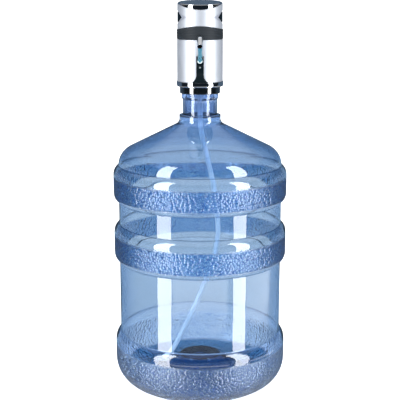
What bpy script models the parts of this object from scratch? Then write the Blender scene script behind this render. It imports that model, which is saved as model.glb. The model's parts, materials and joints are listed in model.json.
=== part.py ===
"""Electric pump on a five-gallon water bottle, as an assembly of separate pieces.

Metres, +Z up. The origin is the middle of the bottle's foot, the spout looks along -Y.
A turned outline is a list of (radius, height) points that runs down the outer side and,
where the piece is hollow, back up the inner side.
"""

import math

import bmesh
import bpy
from mathutils import Euler, Matrix, Vector

# Clearances and counts shared by every piece
GAP = 0.0003
OVERRUN = 0.004
WELD_DISTANCE = 0.000005
MERGE_DISTANCE = 0.00001
BOTTLE_SIDES = 40
SHELL_SIDES = 40
INNER_SIDES = 24
SMALL_SIDES = 16
SCREW_SIDES = 10
SHARP_ANGLE_DEG = 32.0

# Bottle: blown polycarbonate, three ribbed bands round a plain wall
BAND_RADIUS = 0.136
BAND_RISE = 0.008
BOTTLE_WALL = 0.0016
FOOT_INSET = 0.040
FOOT_WIDTH = 0.009
FOOT_ROUND_HEIGHT = 0.043
RING_STRAIGHT_HEIGHT = 0.026
RING_FADE_HEIGHT = 0.019
LOW_WALL_HEIGHT = 0.116
MIDDLE_BAND_HEIGHT = 0.060
HIGH_WALL_HEIGHT = 0.035
UPPER_BAND_HEIGHT = 0.057
BAND_FLARE_HEIGHT = 0.016
SHOULDER_ROUND_RADIUS = 0.030
SHOULDER_SLOPE_DEG = 26.5
NECK_RADIUS = 0.0268
NECK_WALL = 0.0033
NECK_BEAD_RISE = 0.0013
NECK_CROWN_RISE = 0.0004
NECK_FLANGE_RISE = 0.0054
NECK_FOOT_RISE = 0.0038
NECK_FOOT_HEIGHT = 0.00507
NECK_FLANGE_HEIGHT = 0.0090
NECK_PLAIN_HEIGHT = 0.0245
NECK_BEAD_HEIGHT = 0.0105
NECK_CROWN_HEIGHT = 0.0175
PUSH_UP_HEIGHT = 0.036
BOSS_RADIUS = 0.035
BOSS_RISE = 0.004
GATE_RADIUS = 0.008
GATE_DIP = 0.002

# Seat of the pump on the neck
GASKET_THICKNESS = 0.0013
GASKET_CLEARANCE = 0.0004
GASKET_LIP_WIDTH = 0.0017
GASKET_LIP_DEPTH = 0.0035
COLLAR_CLEARANCE = 0.0009
COLLAR_WALL = 0.0022
COLLAR_SKIRT_HEIGHT = 0.0195
COLLAR_ROUND_RADIUS = 0.0028
COLLAR_LIP_HEIGHT = 0.0010
COLLAR_PLATE_THICKNESS = 0.0030
COLLAR_SINK_DEPTH = 0.0015
VENT_RADIUS = 0.0010
VENT_PITCH_RADIUS = 0.0150
VENT_ANGLE_DEG = 300.0
BASE_RING_RISE = 0.0008
BASE_RING_DROP = 0.0010
BASE_RING_HEIGHT = 0.0080
BASE_RING_ROUND_RADIUS = 0.0018

# Casing: two shells that meet under the grip band
SHELL_OVER_COLLAR = 0.0040
SHELL_WALL = 0.0020
UPPER_SHELL_STEP = 0.0005
UPPER_SHELL_WALL = 0.0026
SHELL_JOINT_DROP = 0.0032
GRIP_SEAT_DEPTH = 0.0010
GRIP_RISE = 0.0004
GRIP_LOW_HEIGHT = 0.0110
GRIP_HIGH_HEIGHT = 0.0036
GRIP_ARCH_HEIGHT = 0.0055
GRIP_RIBS = 4
GRIP_RIB_RISE = 0.0004

# Slanted top: pressed disc in a bright rim
TOP_ROOM_HEIGHT = 0.0284
TOP_SLANT_DEG = 6.2
TOP_RIM_SLOPE_WIDTH = 0.0015
TOP_RIM_WIDTH = 0.0013
RIM_SIDE_DROP = 0.0017
RIM_FRONT_DIP = 0.0090
TOP_BUTTON_CLEARANCE = 0.0004
TOP_BUTTON_THICKNESS = 0.0022
TOP_BUTTON_EDGE_WIDTH = 0.0003
TOP_BUTTON_TRAVEL = 0.0012
PLUNGER_RADIUS = 0.0022

# Side buttons: diamond pads in fading scoops
PAD_RISE = 0.0061
SCOOP_HALF_WIDTH = 0.0286
SCOOP_HALF_HEIGHT = 0.0090
SCOOP_FLATNESS = 0.0023
SCOOP_DEPTH = 0.0014
PAD_HALF_WIDTH = 0.0194
PAD_HALF_HEIGHT = 0.0078
PAD_SINK_DEPTH = 0.0002
PAD_FLANGE_WIDTH = 0.0016
PAD_FLANGE_THICKNESS = 0.0012
PAD_CLEARANCE = 0.0004
PAD_TRAVEL = 0.0006
PAD_STEM_RADIUS = 0.0024

# Spout
SPOUT_RADIUS = 0.0044
SPOUT_BORE_RADIUS = 0.0034
SPOUT_RISE = 0.0028
SPOUT_STRAIGHT_LENGTH = 0.0013
SPOUT_BEND_RADIUS = 0.0125
SPOUT_ANGLE_DEG = 40.0
SPOUT_TIP_LENGTH = 0.0130
SPOUT_BEND_STEPS = 6
SPOUT_END_LENGTH = 0.0007
SPOUT_NUT_WIDTH = 0.0130
SPOUT_NUT_THICKNESS = 0.0022
SPOUT_NUT_INSET = 0.0010

# Push lever under the spout, and the spine that cradles its toe
LEVER_AXIS_STAND_OFF = 0.0043
LEVER_AXIS_DROP = 0.0070
LEVER_EYE_RADIUS = 0.0020
LEVER_EYE_HALF_WIDTH = 0.0019
LEVER_TOP_WIDTH = 0.0067
LEVER_LOW_WIDTH = 0.0056
LEVER_THICKNESS = 0.0026
LEVER_SHOULDER_DROP = 0.0028
LEVER_TOE_RADIUS = 0.0039
LEVER_TOE_DROP = 0.0238
LEVER_SWING_DEG = 5.0
PIN_RADIUS = 0.0008
LUG_WIDTH = 0.0016
LUG_ROUND = 0.0024
TAB_WIDTH = 0.0036
TAB_HEIGHT = 0.0026
TAB_DROP = 0.0205
SLOT_CLEARANCE = 0.0009
SPINE_HALF_WIDTH = 0.0057
SPINE_FOOT_HALF_WIDTH = 0.0122
SPINE_FLARE_HEIGHT = 0.0120
SPINE_FLARE_STEPS = 6
SPINE_FLARE_POWER = 2.2
SPINE_FORK_HEIGHT = 0.0070
SPINE_STRAIGHT_HEIGHT = 0.0132
SPINE_SWELL_HEIGHT = 0.0130
SPINE_LOW_RISE = 0.0012
SPINE_MID_RISE = 0.0024
SPINE_HIGH_RISE = 0.0046
CRADLE_CLEARANCE = 0.0006
LENS_RADIUS = 0.0012
LENS_DROP = 0.0099
LENS_SINK_DEPTH = 0.0007
LENS_LENGTH = 0.0070
FRONT_BOARD_INSET = 0.0072
FRONT_BOARD_HALF_WIDTH = 0.0055
FRONT_BOARD_MARGIN = 0.0025
LEVER_SWITCH_DEPTH = 0.0027
LEVER_SWITCH_WIDTH = 0.0064
LEVER_SWITCH_HEIGHT = 0.0160
LEVER_SPRING_DROP = 0.0110
LEVER_SPRING_RADIUS = 0.0016
LEVER_SPRING_WIRE = 0.0002
LEVER_SPRING_TURNS = 3

# Charging port at the back
PORT_RISE = 0.0248
PORT_WIDTH = 0.0090
PORT_THICKNESS = 0.0033
PORT_DEPTH = 0.0073
PORT_METAL_THICKNESS = 0.0004
PORT_SINK_DEPTH = 0.0016
PORT_CLEARANCE = 0.0004
TONGUE_WIDTH = 0.0062
TONGUE_THICKNESS = 0.0007
TONGUE_LENGTH = 0.0050
REAR_BOARD_HALF_WIDTH = 0.0052
REAR_BOARD_RISE = 0.0080
COVER_WIDTH = 0.0150
COVER_LENGTH = 0.0095
COVER_CORNER_RADIUS = 0.0022
COVER_THICKNESS = 0.0015
COVER_HINGE_STAND_OFF = 0.0010
COVER_HINGE_DROP = 0.0048
ANCHOR_DROP = 0.0014
ANCHOR_HEIGHT = 0.0022

# Frame, deck and board inside the casing
FRAME_PLATE_THICKNESS = 0.0027
BARB_HOLE_CLEARANCE = 0.0004
POST_RADIUS = 0.0028
POST_INSET = 0.0044
POST_ANGLES_DEG = (110.0, 205.0, 335.0)
COLLAR_SCREW_INSET = 0.0059
COLLAR_SCREW_ANGLES_DEG = (60.0, 185.0, 300.0)
DECK_THICKNESS = 0.0025
DECK_CLEARANCE = 0.0006
BOARD_BOSS_HEIGHT = 0.0080
BOARD_BOSS_RADIUS = 0.0026
BOARD_BOSS_PITCH_RADIUS = 0.0190
BOARD_BOSS_ANGLES_DEG = (65.0, 245.0)
BOARD_INSET = 0.0041
BOARD_THICKNESS = 0.0016
SCREW_RADIUS = 0.0011
SCREW_HEAD_RADIUS = 0.0021
SCREW_HEAD_HEIGHT = 0.0012
SCREW_LENGTH = 0.0054
SWITCH_WIDTH = 0.0060
SWITCH_HEIGHT = 0.0035
SWITCH_NUB_RADIUS = 0.0017
SWITCH_NUB_HEIGHT = 0.0008
SIDE_SWITCH_INSET = 0.0085
SIDE_SWITCH_DEPTH = 0.0040
SIDE_SWITCH_MARGIN = 0.0032
CHIP_WIDTH = 0.0080
CHIP_THICKNESS = 0.0015
CHIP_OFFSET = 0.0090
SPRING_WIRE_RADIUS = 0.0003
SPRING_TURN_POINTS = 8
BUTTON_SPRING_RADIUS = 0.0062
BUTTON_SPRING_TURNS = 5
PAD_SPRING_RADIUS = 0.0032
PAD_SPRING_TURNS = 3

# Motor and pump head, side by side with the battery cell
PUMP_LEFT_OFFSET = 0.0075
PUMP_BACK_OFFSET = 0.0040
HEAD_RADIUS = 0.0130
HEAD_HEIGHT = 0.0080
HEAD_INLET_DEPTH = 0.0028
DUCT_RADIUS = 0.0014
OUTLET_OFFSET = 0.0165
OUTLET_BLOCK_WIDTH = 0.0080
NIPPLE_RADIUS = 0.0024
NIPPLE_LENGTH = 0.0030
DIAPHRAGM_THICKNESS = 0.0014
DIAPHRAGM_DISH_RADIUS = 0.0090
HOUSING_HEIGHT = 0.0068
HOUSING_WALL = 0.0012
CAM_RADIUS = 0.0042
CAM_OFFSET = 0.0012
CAM_HEIGHT = 0.0036
CAM_LIFT = 0.0016
MOTOR_RADIUS = 0.0122
MOTOR_WALL = 0.0010
MOTOR_HEIGHT = 0.0310
MOTOR_CAP_HEIGHT = 0.0026
ROTOR_RADIUS = 0.0094
ROTOR_END_CLEARANCE = 0.0050
SHAFT_RADIUS = 0.0010
BEARING_CLEARANCE = 0.0004
ELBOW_RADIUS = 0.0035
ELBOW_BORE_RADIUS = 0.0027
ELBOW_POINT_SPACING = 0.0055
CELL_RIGHT_OFFSET = 0.0165
CELL_BACK_OFFSET = 0.0070
CELL_RADIUS = 0.0092
CELL_LENGTH = 0.0650
CELL_TERMINAL_RADIUS = 0.0030
CELL_TERMINAL_HEIGHT = 0.0010
HOLDER_WALL = 0.0011
HOLDER_HEIGHT = 0.0150
HOLDER_FLOOR_THICKNESS = 0.0012
CONTACT_RADIUS = 0.0048
CONTACT_THICKNESS = 0.0008

# Inlet fitting and its tube
FITTING_LENGTH = 0.0159
FITTING_STEM_RADIUS = 0.0034
FITTING_SOCKET_RADIUS = 0.0040
FITTING_SOCKET_HEIGHT = 0.0095
FITTING_BORE_RADIUS = 0.0019
FITTING_FLANGE_RADIUS = 0.0056
FITTING_SPIGOT_RADIUS = 0.0029
TUBE_RADIUS = 0.0040
TUBE_POINT_SPACING = 0.0180
# Route of the tube inside the bottle, from the fitting down to the floor, chosen by hand
TUBE_ROUTE = (
    (0.0000, 0.0000, 0.4757),
    (0.0000, 0.0000, 0.4600),
    (0.0002, 0.0004, 0.4400),
    (0.0009, 0.0010, 0.4210),
    (0.0027, 0.0018, 0.4040),
    (0.0071, 0.0026, 0.3840),
    (0.0131, 0.0033, 0.3590),
    (0.0190, 0.0038, 0.3320),
    (0.0235, 0.0042, 0.3060),
    (0.0266, 0.0045, 0.2810),
    (0.0286, 0.0046, 0.2570),
    (0.0286, 0.0046, 0.2370),
    (0.0265, 0.0045, 0.2190),
    (0.0208, 0.0043, 0.1990),
    (0.0142, 0.0040, 0.1805),
    (0.0066, 0.0036, 0.1590),
    (-0.0046, 0.0030, 0.1300),
    (-0.0186, 0.0022, 0.0990),
    (-0.0300, 0.0014, 0.0760),
    (-0.0398, 0.0006, 0.0570),
    (-0.0492, 0.0000, 0.0420),
    (-0.0590, -0.0004, 0.0305),
)

# Colours, taken from the photograph where the piece shows
LOOKS = {
    "blue_polycarbonate": ((0.20, 0.36, 0.62), 0.08, 0.0),
    "satin_silver": ((0.80, 0.82, 0.84), 0.32, 0.9),
    "chrome": ((0.86, 0.87, 0.88), 0.06, 1.0),
    "gloss_black": ((0.012, 0.014, 0.017), 0.12, 0.0),
    "black_silicone": ((0.035, 0.038, 0.043), 0.55, 0.0),
    "smoked_disc": ((0.12, 0.15, 0.19), 0.10, 0.0),
    "teal_plastic": ((0.17, 0.37, 0.46), 0.12, 0.0),
    "clear_silicone": ((0.72, 0.80, 0.88), 0.25, 0.0),
    "white_silicone": ((0.78, 0.79, 0.80), 0.50, 0.0),
    "black_nylon": ((0.030, 0.031, 0.034), 0.45, 0.0),
    "bright_steel": ((0.62, 0.63, 0.65), 0.25, 1.0),
    "brass": ((0.72, 0.53, 0.24), 0.28, 1.0),
    "green_laminate": ((0.03, 0.16, 0.07), 0.40, 0.0),
    "cell_wrap": ((0.05, 0.20, 0.45), 0.40, 0.0),
    "clear_lens": ((0.75, 0.85, 0.90), 0.08, 0.0),
}

OBJECT_NAME = "bottled_water_pump"


def clear_scene():
    for obj in list(bpy.data.objects):
        bpy.data.objects.remove(obj, do_unlink=True)


def make_collection(name):
    made = bpy.data.collections.new(name)
    bpy.context.scene.collection.children.link(made)
    return made


def make_looks():
    for name, (colour, roughness, metallic) in LOOKS.items():
        material = bpy.data.materials.new(name)
        material.use_nodes = True
        shader = material.node_tree.nodes["Principled BSDF"]
        shader.inputs["Base Color"].default_value = (*colour, 1.0)
        shader.inputs["Roughness"].default_value = roughness
        shader.inputs["Metallic"].default_value = metallic
        material.diffuse_color = (*colour, 1.0)


def add_object(name, data, look):
    """A new object in the parts collection or, where it has no look, among the cutters."""
    obj = bpy.data.objects.new(name, data)
    if look:
        bpy.data.collections[OBJECT_NAME].objects.link(obj)
        data.materials.clear()
        data.materials.append(bpy.data.materials[look])
    else:
        bpy.data.collections["cutters"].objects.link(obj)
        obj.hide_render = True
        obj.display_type = "WIRE"
    return obj


def shade(obj):
    obj.data.shade_smooth()
    obj.data.set_sharp_from_angle(angle=math.radians(SHARP_ANGLE_DEG))


def turned(name, outline, look=None, sides=SHELL_SIDES, place=(0, 0, 0), turn=(0, 0, 0)):
    """An outline turned about Z. It closes on itself, but for the stretches along the axis."""
    mesh = bpy.data.meshes.new(name)
    count = len(outline)
    ends = [(i, (i + 1) % count) for i in range(count)]
    edges = [(i, j) for i, j in ends if outline[i][0] > 0 or outline[j][0] > 0]
    mesh.from_pydata([(radius, 0, height) for radius, height in outline], edges, [])
    obj = add_object(name, mesh, look)
    obj.location = place
    obj.rotation_euler = Euler(turn)
    screw = obj.modifiers.new("turn", "SCREW")
    screw.axis = "Z"
    screw.angle = math.tau
    screw.steps = sides
    screw.render_steps = sides
    screw.use_merge_vertices = True
    screw.merge_threshold = MERGE_DISTANCE
    screw.use_smooth_shade = True
    return obj


def rod(name, radius, low, high, look=None, sides=SMALL_SIDES, place=(0, 0, 0), turn=(0, 0, 0)):
    return turned(name, [(0, high), (radius, high), (radius, low), (0, low)], look, sides, place, turn)


def sleeve(name, inner, outer, low, high, look=None, sides=SMALL_SIDES, place=(0, 0, 0)):
    outline = [(outer, high), (outer, low), (inner, low), (inner, high)]
    return turned(name, outline, look, sides, place)


def box(name, low, high, look=None, bevel=0.0):
    """A box between two corners, with its edges rounded by the bevel."""
    mesh = bpy.data.meshes.new(name)
    work = bmesh.new()
    bmesh.ops.create_cube(work, size=1.0)
    size = Vector(high) - Vector(low)
    bmesh.ops.scale(work, vec=size, verts=work.verts)
    work.to_mesh(mesh)
    work.free()
    obj = add_object(name, mesh, look)
    obj.location = (Vector(low) + Vector(high)) / 2
    if bevel > 0:
        rounding = obj.modifiers.new("rounding", "BEVEL")
        rounding.width = bevel
        rounding.segments = 2
    return obj


def settled_mesh(obj, name):
    """The object's evaluated mesh, with the caps of a curve welded."""
    bpy.context.view_layer.update()
    graph = bpy.context.evaluated_depsgraph_get()
    mesh = bpy.data.meshes.new_from_object(obj.evaluated_get(graph))
    mesh.name = name
    work = bmesh.new()
    work.from_mesh(mesh)
    bmesh.ops.remove_doubles(work, verts=work.verts, dist=WELD_DISTANCE)
    bmesh.ops.recalc_face_normals(work, faces=work.faces)
    work.to_mesh(mesh)
    work.free()
    return mesh


def curve_to_mesh(curve_object, name, look):
    mesh = settled_mesh(curve_object, name)
    matrix = curve_object.matrix_world.copy()
    bpy.data.objects.remove(curve_object, do_unlink=True)
    obj = add_object(name, mesh, look)
    obj.matrix_world = matrix
    return obj


def plate(name, outline, low, high, look=None, matrix=None, bevel=0.0):
    """A closed flat outline given thickness from low to high along its own Z."""
    curve = bpy.data.curves.new(name, "CURVE")
    curve.dimensions = "2D"
    curve.fill_mode = "BOTH"
    curve.extrude = (high - low) / 2
    curve.bevel_depth = bevel
    spline = curve.splines.new("POLY")
    spline.points.add(len(outline) - 1)
    for point, (u, v) in zip(spline.points, outline):
        point.co = (u, v, 0, 1)
    spline.use_cyclic_u = True
    obj = bpy.data.objects.new(name + "_outline", curve)
    bpy.data.collections["cutters"].objects.link(obj)
    obj.matrix_world = (matrix or Matrix()) @ Matrix.Translation((0, 0, (low + high) / 2))
    return curve_to_mesh(obj, name, look)


def tube(name, points, radius, look=None, resolution=2, as_mesh=False):
    """A round bar along points."""
    curve = bpy.data.curves.new(name, "CURVE")
    curve.dimensions = "3D"
    curve.bevel_depth = radius
    curve.bevel_resolution = resolution
    curve.use_fill_caps = True
    spline = curve.splines.new("POLY")
    spline.points.add(len(points) - 1)
    for point, place in zip(spline.points, points):
        point.co = (*place, 1)
    if not as_mesh:
        return add_object(name, curve, look)
    obj = bpy.data.objects.new(name + "_line", curve)
    bpy.data.collections["cutters"].objects.link(obj)
    return curve_to_mesh(obj, name, look)


def wavy_ring(name, loops, look, sides=SHELL_SIDES):
    """A loft between unlike closed loops; each gives (radius, height) at an angle from the front."""
    mesh = bpy.data.meshes.new(name)
    work = bmesh.new()
    rows = []
    for loop in loops:
        row = []
        for step in range(sides):
            angle = math.tau * step / sides
            radius, height = loop(angle)
            row.append(work.verts.new((radius * math.sin(angle), -radius * math.cos(angle), height)))
        rows.append(row)
    for this, following in zip(rows, rows[1:] + rows[:1]):
        for step in range(sides):
            after = (step + 1) % sides
            work.faces.new((this[step], this[after], following[after], following[step]))
    bmesh.ops.recalc_face_normals(work, faces=work.faces)
    work.to_mesh(mesh)
    work.free()
    obj = add_object(name, mesh, look)
    shade(obj)
    return obj


def combine(target, other, operation="DIFFERENCE"):
    """Cut, join or cross the target with a helper, which is then left out of the build."""
    boolean = target.modifiers.new(operation.lower() + "_" + other.name, "BOOLEAN")
    boolean.operation = operation
    boolean.object = other
    boolean.solver = "EXACT"
    return target


def polar(reach, angle_deg):
    angle = math.radians(angle_deg)
    return reach * math.cos(angle), reach * math.sin(angle)


def arc(centre, radius, start_deg, end_deg, steps):
    """Points on an arc, both ends included."""
    points = []
    for step in range(steps + 1):
        angle = math.radians(start_deg + (end_deg - start_deg) * step / steps)
        points.append((centre[0] + radius * math.cos(angle), centre[1] + radius * math.sin(angle)))
    return points


def smooth_route(route, spacing):
    """Points about one spacing apart on a Catmull-Rom curve through the route."""
    points = [Vector(place) for place in route]
    ends = [points[0] * 2 - points[1]] + points + [points[-1] * 2 - points[-2]]
    fine_steps = 12
    line = []
    for before, start, end, after in zip(ends, ends[1:], ends[2:], ends[3:]):
        for step in range(fine_steps):
            t = step / fine_steps
            line.append(
                0.5
                * (
                    2 * start
                    + (end - before) * t
                    + (2 * before - 5 * start + 4 * end - after) * t * t
                    + (3 * start - before - 3 * end + after) * t * t * t
                )
            )
    line.append(points[-1])
    length = sum((b - a).length for a, b in zip(line, line[1:]))
    count = max(2, round(length / spacing))
    picked = [line[0]]
    run = 0.0
    for a, b in zip(line, line[1:]):
        run += (b - a).length
        if run >= length * len(picked) / count and len(picked) < count:
            picked.append(b)
    picked.append(line[-1])
    return picked


# Heights and radii of the bottle that follow from the sizes above
WALL_RADIUS = BAND_RADIUS - BAND_RISE
FOOT_RADIUS = BAND_RADIUS - FOOT_INSET
RING_FULL_TOP = FOOT_ROUND_HEIGHT + RING_STRAIGHT_HEIGHT
RING_TOP = RING_FULL_TOP + RING_FADE_HEIGHT
MIDDLE_BAND_BOTTOM = RING_TOP + LOW_WALL_HEIGHT
MIDDLE_BAND_TOP = MIDDLE_BAND_BOTTOM + MIDDLE_BAND_HEIGHT
UPPER_BAND_BOTTOM = MIDDLE_BAND_TOP + HIGH_WALL_HEIGHT
UPPER_BAND_TOP = UPPER_BAND_BOTTOM + UPPER_BAND_HEIGHT
NECK_BORE_RADIUS = NECK_RADIUS - NECK_WALL
NECK_BEAD_RADIUS = NECK_RADIUS + NECK_BEAD_RISE
NECK_CROWN_RADIUS = NECK_RADIUS + NECK_CROWN_RISE
NECK_FLANGE_RADIUS = NECK_RADIUS + NECK_FLANGE_RISE
NECK_FOOT_RADIUS = NECK_FLANGE_RADIUS + NECK_FOOT_RISE
SHOULDER_SLOPE = math.radians(SHOULDER_SLOPE_DEG)
CONE_BOTTOM_RADIUS = WALL_RADIUS - SHOULDER_ROUND_RADIUS * (1 - math.sin(SHOULDER_SLOPE))
CONE_BOTTOM = UPPER_BAND_TOP + SHOULDER_ROUND_RADIUS * math.cos(SHOULDER_SLOPE)
CONE_TOP = CONE_BOTTOM + (CONE_BOTTOM_RADIUS - NECK_FOOT_RADIUS) * math.tan(SHOULDER_SLOPE)
NECK_FLANGE_BOTTOM = CONE_TOP + NECK_FOOT_HEIGHT
NECK_FLANGE_TOP = NECK_FLANGE_BOTTOM + NECK_FLANGE_HEIGHT
NECK_BEAD_BOTTOM = NECK_FLANGE_TOP + NECK_PLAIN_HEIGHT
NECK_BEAD_TOP = NECK_BEAD_BOTTOM + NECK_BEAD_HEIGHT
MOUTH_HEIGHT = NECK_BEAD_TOP + NECK_CROWN_HEIGHT

# Radii of the pump, from the neck outwards
COLLAR_INNER = NECK_BEAD_RADIUS + COLLAR_CLEARANCE
COLLAR_RADIUS = COLLAR_INNER + COLLAR_WALL
GASKET_RADIUS = COLLAR_INNER - GASKET_CLEARANCE
SHELL_RADIUS = COLLAR_RADIUS + SHELL_OVER_COLLAR
SHELL_INNER = SHELL_RADIUS - SHELL_WALL
INSIDE_RADIUS = SHELL_INNER - GAP
BASE_RING_RADIUS = SHELL_RADIUS + BASE_RING_RISE
UNDER_GRIP_RADIUS = SHELL_RADIUS - GRIP_SEAT_DEPTH
GRIP_INNER = UNDER_GRIP_RADIUS + GAP
GRIP_RADIUS = SHELL_RADIUS + GRIP_RISE
UPPER_SHELL_RADIUS = SHELL_RADIUS - UPPER_SHELL_STEP
UPPER_INNER = UPPER_SHELL_RADIUS - UPPER_SHELL_WALL
TOP_RIM_OUTER = UPPER_SHELL_RADIUS - TOP_RIM_SLOPE_WIDTH
TOP_RIM_INNER = TOP_RIM_OUTER - TOP_RIM_WIDTH
TOP_BUTTON_RADIUS = TOP_RIM_INNER - TOP_BUTTON_CLEARANCE
SCOOP_FLOOR_RADIUS = UPPER_SHELL_RADIUS + SCOOP_FLATNESS
PAD_RADIUS = UPPER_SHELL_RADIUS - PAD_SINK_DEPTH
SIDE_SWITCH_FACE = UPPER_INNER - SIDE_SWITCH_INSET
SPOUT_NUT_REACH = SHELL_INNER - SPOUT_NUT_INSET - SPOUT_NUT_THICKNESS
SPOUT_INNER_END = SPOUT_NUT_REACH - SPOUT_END_LENGTH
SPOUT_BEND_START = SHELL_RADIUS + SPOUT_STRAIGHT_LENGTH
LEVER_AXIS_REACH = SHELL_RADIUS + LEVER_AXIS_STAND_OFF
SPINE_LOW_RADIUS = SHELL_RADIUS + SPINE_LOW_RISE
SPINE_MID_RADIUS = SHELL_RADIUS + SPINE_MID_RISE
SPINE_HIGH_RADIUS = SHELL_RADIUS + SPINE_HIGH_RISE
LENS_FACE_REACH = SPINE_HIGH_RADIUS - LENS_SINK_DEPTH
FRONT_BOARD_REACH = SHELL_INNER - FRONT_BOARD_INSET
PORT_REACH = SHELL_RADIUS - PORT_SINK_DEPTH
COVER_HINGE_REACH = SHELL_RADIUS + COVER_HINGE_STAND_OFF
BARB_HOLE_RADIUS = FITTING_SPIGOT_RADIUS + BARB_HOLE_CLEARANCE
POST_REACH = INSIDE_RADIUS - POST_INSET
COLLAR_SCREW_REACH = INSIDE_RADIUS - COLLAR_SCREW_INSET
DECK_RADIUS = UPPER_INNER - DECK_CLEARANCE
BOARD_RADIUS = UPPER_INNER - BOARD_INSET

# Heights of the pump, from the bottle's mouth up
COLLAR_BOTTOM = MOUTH_HEIGHT - COLLAR_SKIRT_HEIGHT
COLLAR_PLATE_BOTTOM = MOUTH_HEIGHT + 2 * GAP + GASKET_THICKNESS
COLLAR_TOP = COLLAR_PLATE_BOTTOM + COLLAR_PLATE_THICKNESS
FITTING_BOTTOM = COLLAR_TOP - FITTING_LENGTH
BASE_RING_TOP = MOUTH_HEIGHT - BASE_RING_DROP
BASE_RING_BOTTOM = BASE_RING_TOP - BASE_RING_HEIGHT
SHELL_BOTTOM = BASE_RING_TOP + GAP
FRAME_BOTTOM = COLLAR_TOP + GAP
FRAME_TOP = FRAME_BOTTOM + FRAME_PLATE_THICKNESS
FLOOR = FRAME_TOP + GAP
HEAD_TOP = FLOOR + HEAD_HEIGHT
DIAPHRAGM_BOTTOM = HEAD_TOP + GAP
HOUSING_BOTTOM = DIAPHRAGM_BOTTOM + DIAPHRAGM_THICKNESS + GAP
MOTOR_BOTTOM = HOUSING_BOTTOM + HOUSING_HEIGHT + GAP
MOTOR_TOP = MOTOR_BOTTOM + MOTOR_HEIGHT
LOW_CONTACT_BOTTOM = FLOOR + HOLDER_FLOOR_THICKNESS + GAP
CELL_BOTTOM = LOW_CONTACT_BOTTOM + CONTACT_THICKNESS + GAP
CELL_TOP = CELL_BOTTOM + CELL_LENGTH
HIGH_CONTACT_BOTTOM = CELL_TOP + GAP
DECK_BOTTOM = HIGH_CONTACT_BOTTOM + CONTACT_THICKNESS + GAP
DECK_TOP = DECK_BOTTOM + DECK_THICKNESS
BOARD_BOTTOM = DECK_TOP + BOARD_BOSS_HEIGHT + GAP
BOARD_TOP = BOARD_BOTTOM + BOARD_THICKNESS
SWITCH_BOTTOM = BOARD_TOP + GAP
PAD_HEIGHT = SWITCH_BOTTOM + PAD_RISE
TOP_HEIGHT = BOARD_TOP + TOP_ROOM_HEIGHT
RIM_SIDE_HEIGHT = TOP_HEIGHT - RIM_SIDE_DROP
SHELL_JOINT_HEIGHT = DECK_BOTTOM - SHELL_JOINT_DROP
GRIP_BOTTOM = SHELL_JOINT_HEIGHT - GRIP_LOW_HEIGHT
GRIP_SIDE_TOP = SHELL_JOINT_HEIGHT + GRIP_HIGH_HEIGHT
SPOUT_HEIGHT = GRIP_BOTTOM + SPOUT_RISE
LEVER_AXIS_HEIGHT = GRIP_BOTTOM - LEVER_AXIS_DROP
TAB_MIDDLE = LEVER_AXIS_HEIGHT - TAB_DROP
FRONT_BOARD_TOP = TAB_MIDDLE + LEVER_SWITCH_HEIGHT / 2 + FRONT_BOARD_MARGIN
TOE_MIDDLE = LEVER_AXIS_HEIGHT - LEVER_TOE_DROP
LENS_HEIGHT = TOE_MIDDLE - LENS_DROP
SPINE_TOP = TOE_MIDDLE + SPINE_FORK_HEIGHT
SPINE_HIGH_HEIGHT = SPINE_TOP - SPINE_STRAIGHT_HEIGHT
SPINE_MID_HEIGHT = SPINE_HIGH_HEIGHT - SPINE_SWELL_HEIGHT
PORT_HEIGHT = FLOOR + PORT_RISE
REAR_BOARD_TOP = PORT_HEIGHT + REAR_BOARD_RISE
COVER_HINGE_HEIGHT = PORT_HEIGHT - COVER_HINGE_DROP
PUMP_X, PUMP_Y = -PUMP_LEFT_OFFSET, PUMP_BACK_OFFSET
CELL_X, CELL_Y = CELL_RIGHT_OFFSET, CELL_BACK_OFFSET
SLANT = math.radians(TOP_SLANT_DEG)
LEVER_SWING = math.radians(LEVER_SWING_DEG)

# Frames for flat outlines: the front one has u along +X, v up and w towards the spout,
# the right one has u along +Y, v up and w along +X, the back one has w away from the spout
FRONT = Matrix(((1, 0, 0, 0), (0, 0, -1, 0), (0, 1, 0, 0), (0, 0, 0, 1)))
RIGHT = Matrix(((0, 0, 1, 0), (1, 0, 0, 0), (0, 1, 0, 0), (0, 0, 0, 1)))
BACK = Matrix.Rotation(math.pi, 4, "Z") @ FRONT
FACING_FRONT = (math.pi / 2, 0, 0)
FACING_BACK = (-math.pi / 2, 0, 0)


def grip_top(angle):
    return GRIP_SIDE_TOP + GRIP_ARCH_HEIGHT * math.cos(angle) ** 2


def rim_bottom(angle):
    dip = RIM_FRONT_DIP * math.cos(angle) ** 2 if math.cos(angle) > 0 else 0
    return RIM_SIDE_HEIGHT - dip


def top_plane(angle, radius):
    return TOP_HEIGHT - radius * math.cos(angle) * math.tan(SLANT)


def facing_side(side):
    return (0, side * math.pi / 2, 0)


# Bottle


def band_outline(low, high, flare, offset, full=True):
    """A raised band from its top edge down, set in from the outside by the offset."""
    swell_share, flare_share = 0.80, 0.42
    wall = WALL_RADIUS - offset
    band = BAND_RADIUS - offset
    swell = wall + BAND_RISE * swell_share
    points = [(wall, high), (band, high - flare), (band, low + flare), (wall, low)]
    if full:
        points.insert(1, (swell, high - flare * flare_share))
        points.insert(4, (swell, low + flare * flare_share))
    return points


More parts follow.
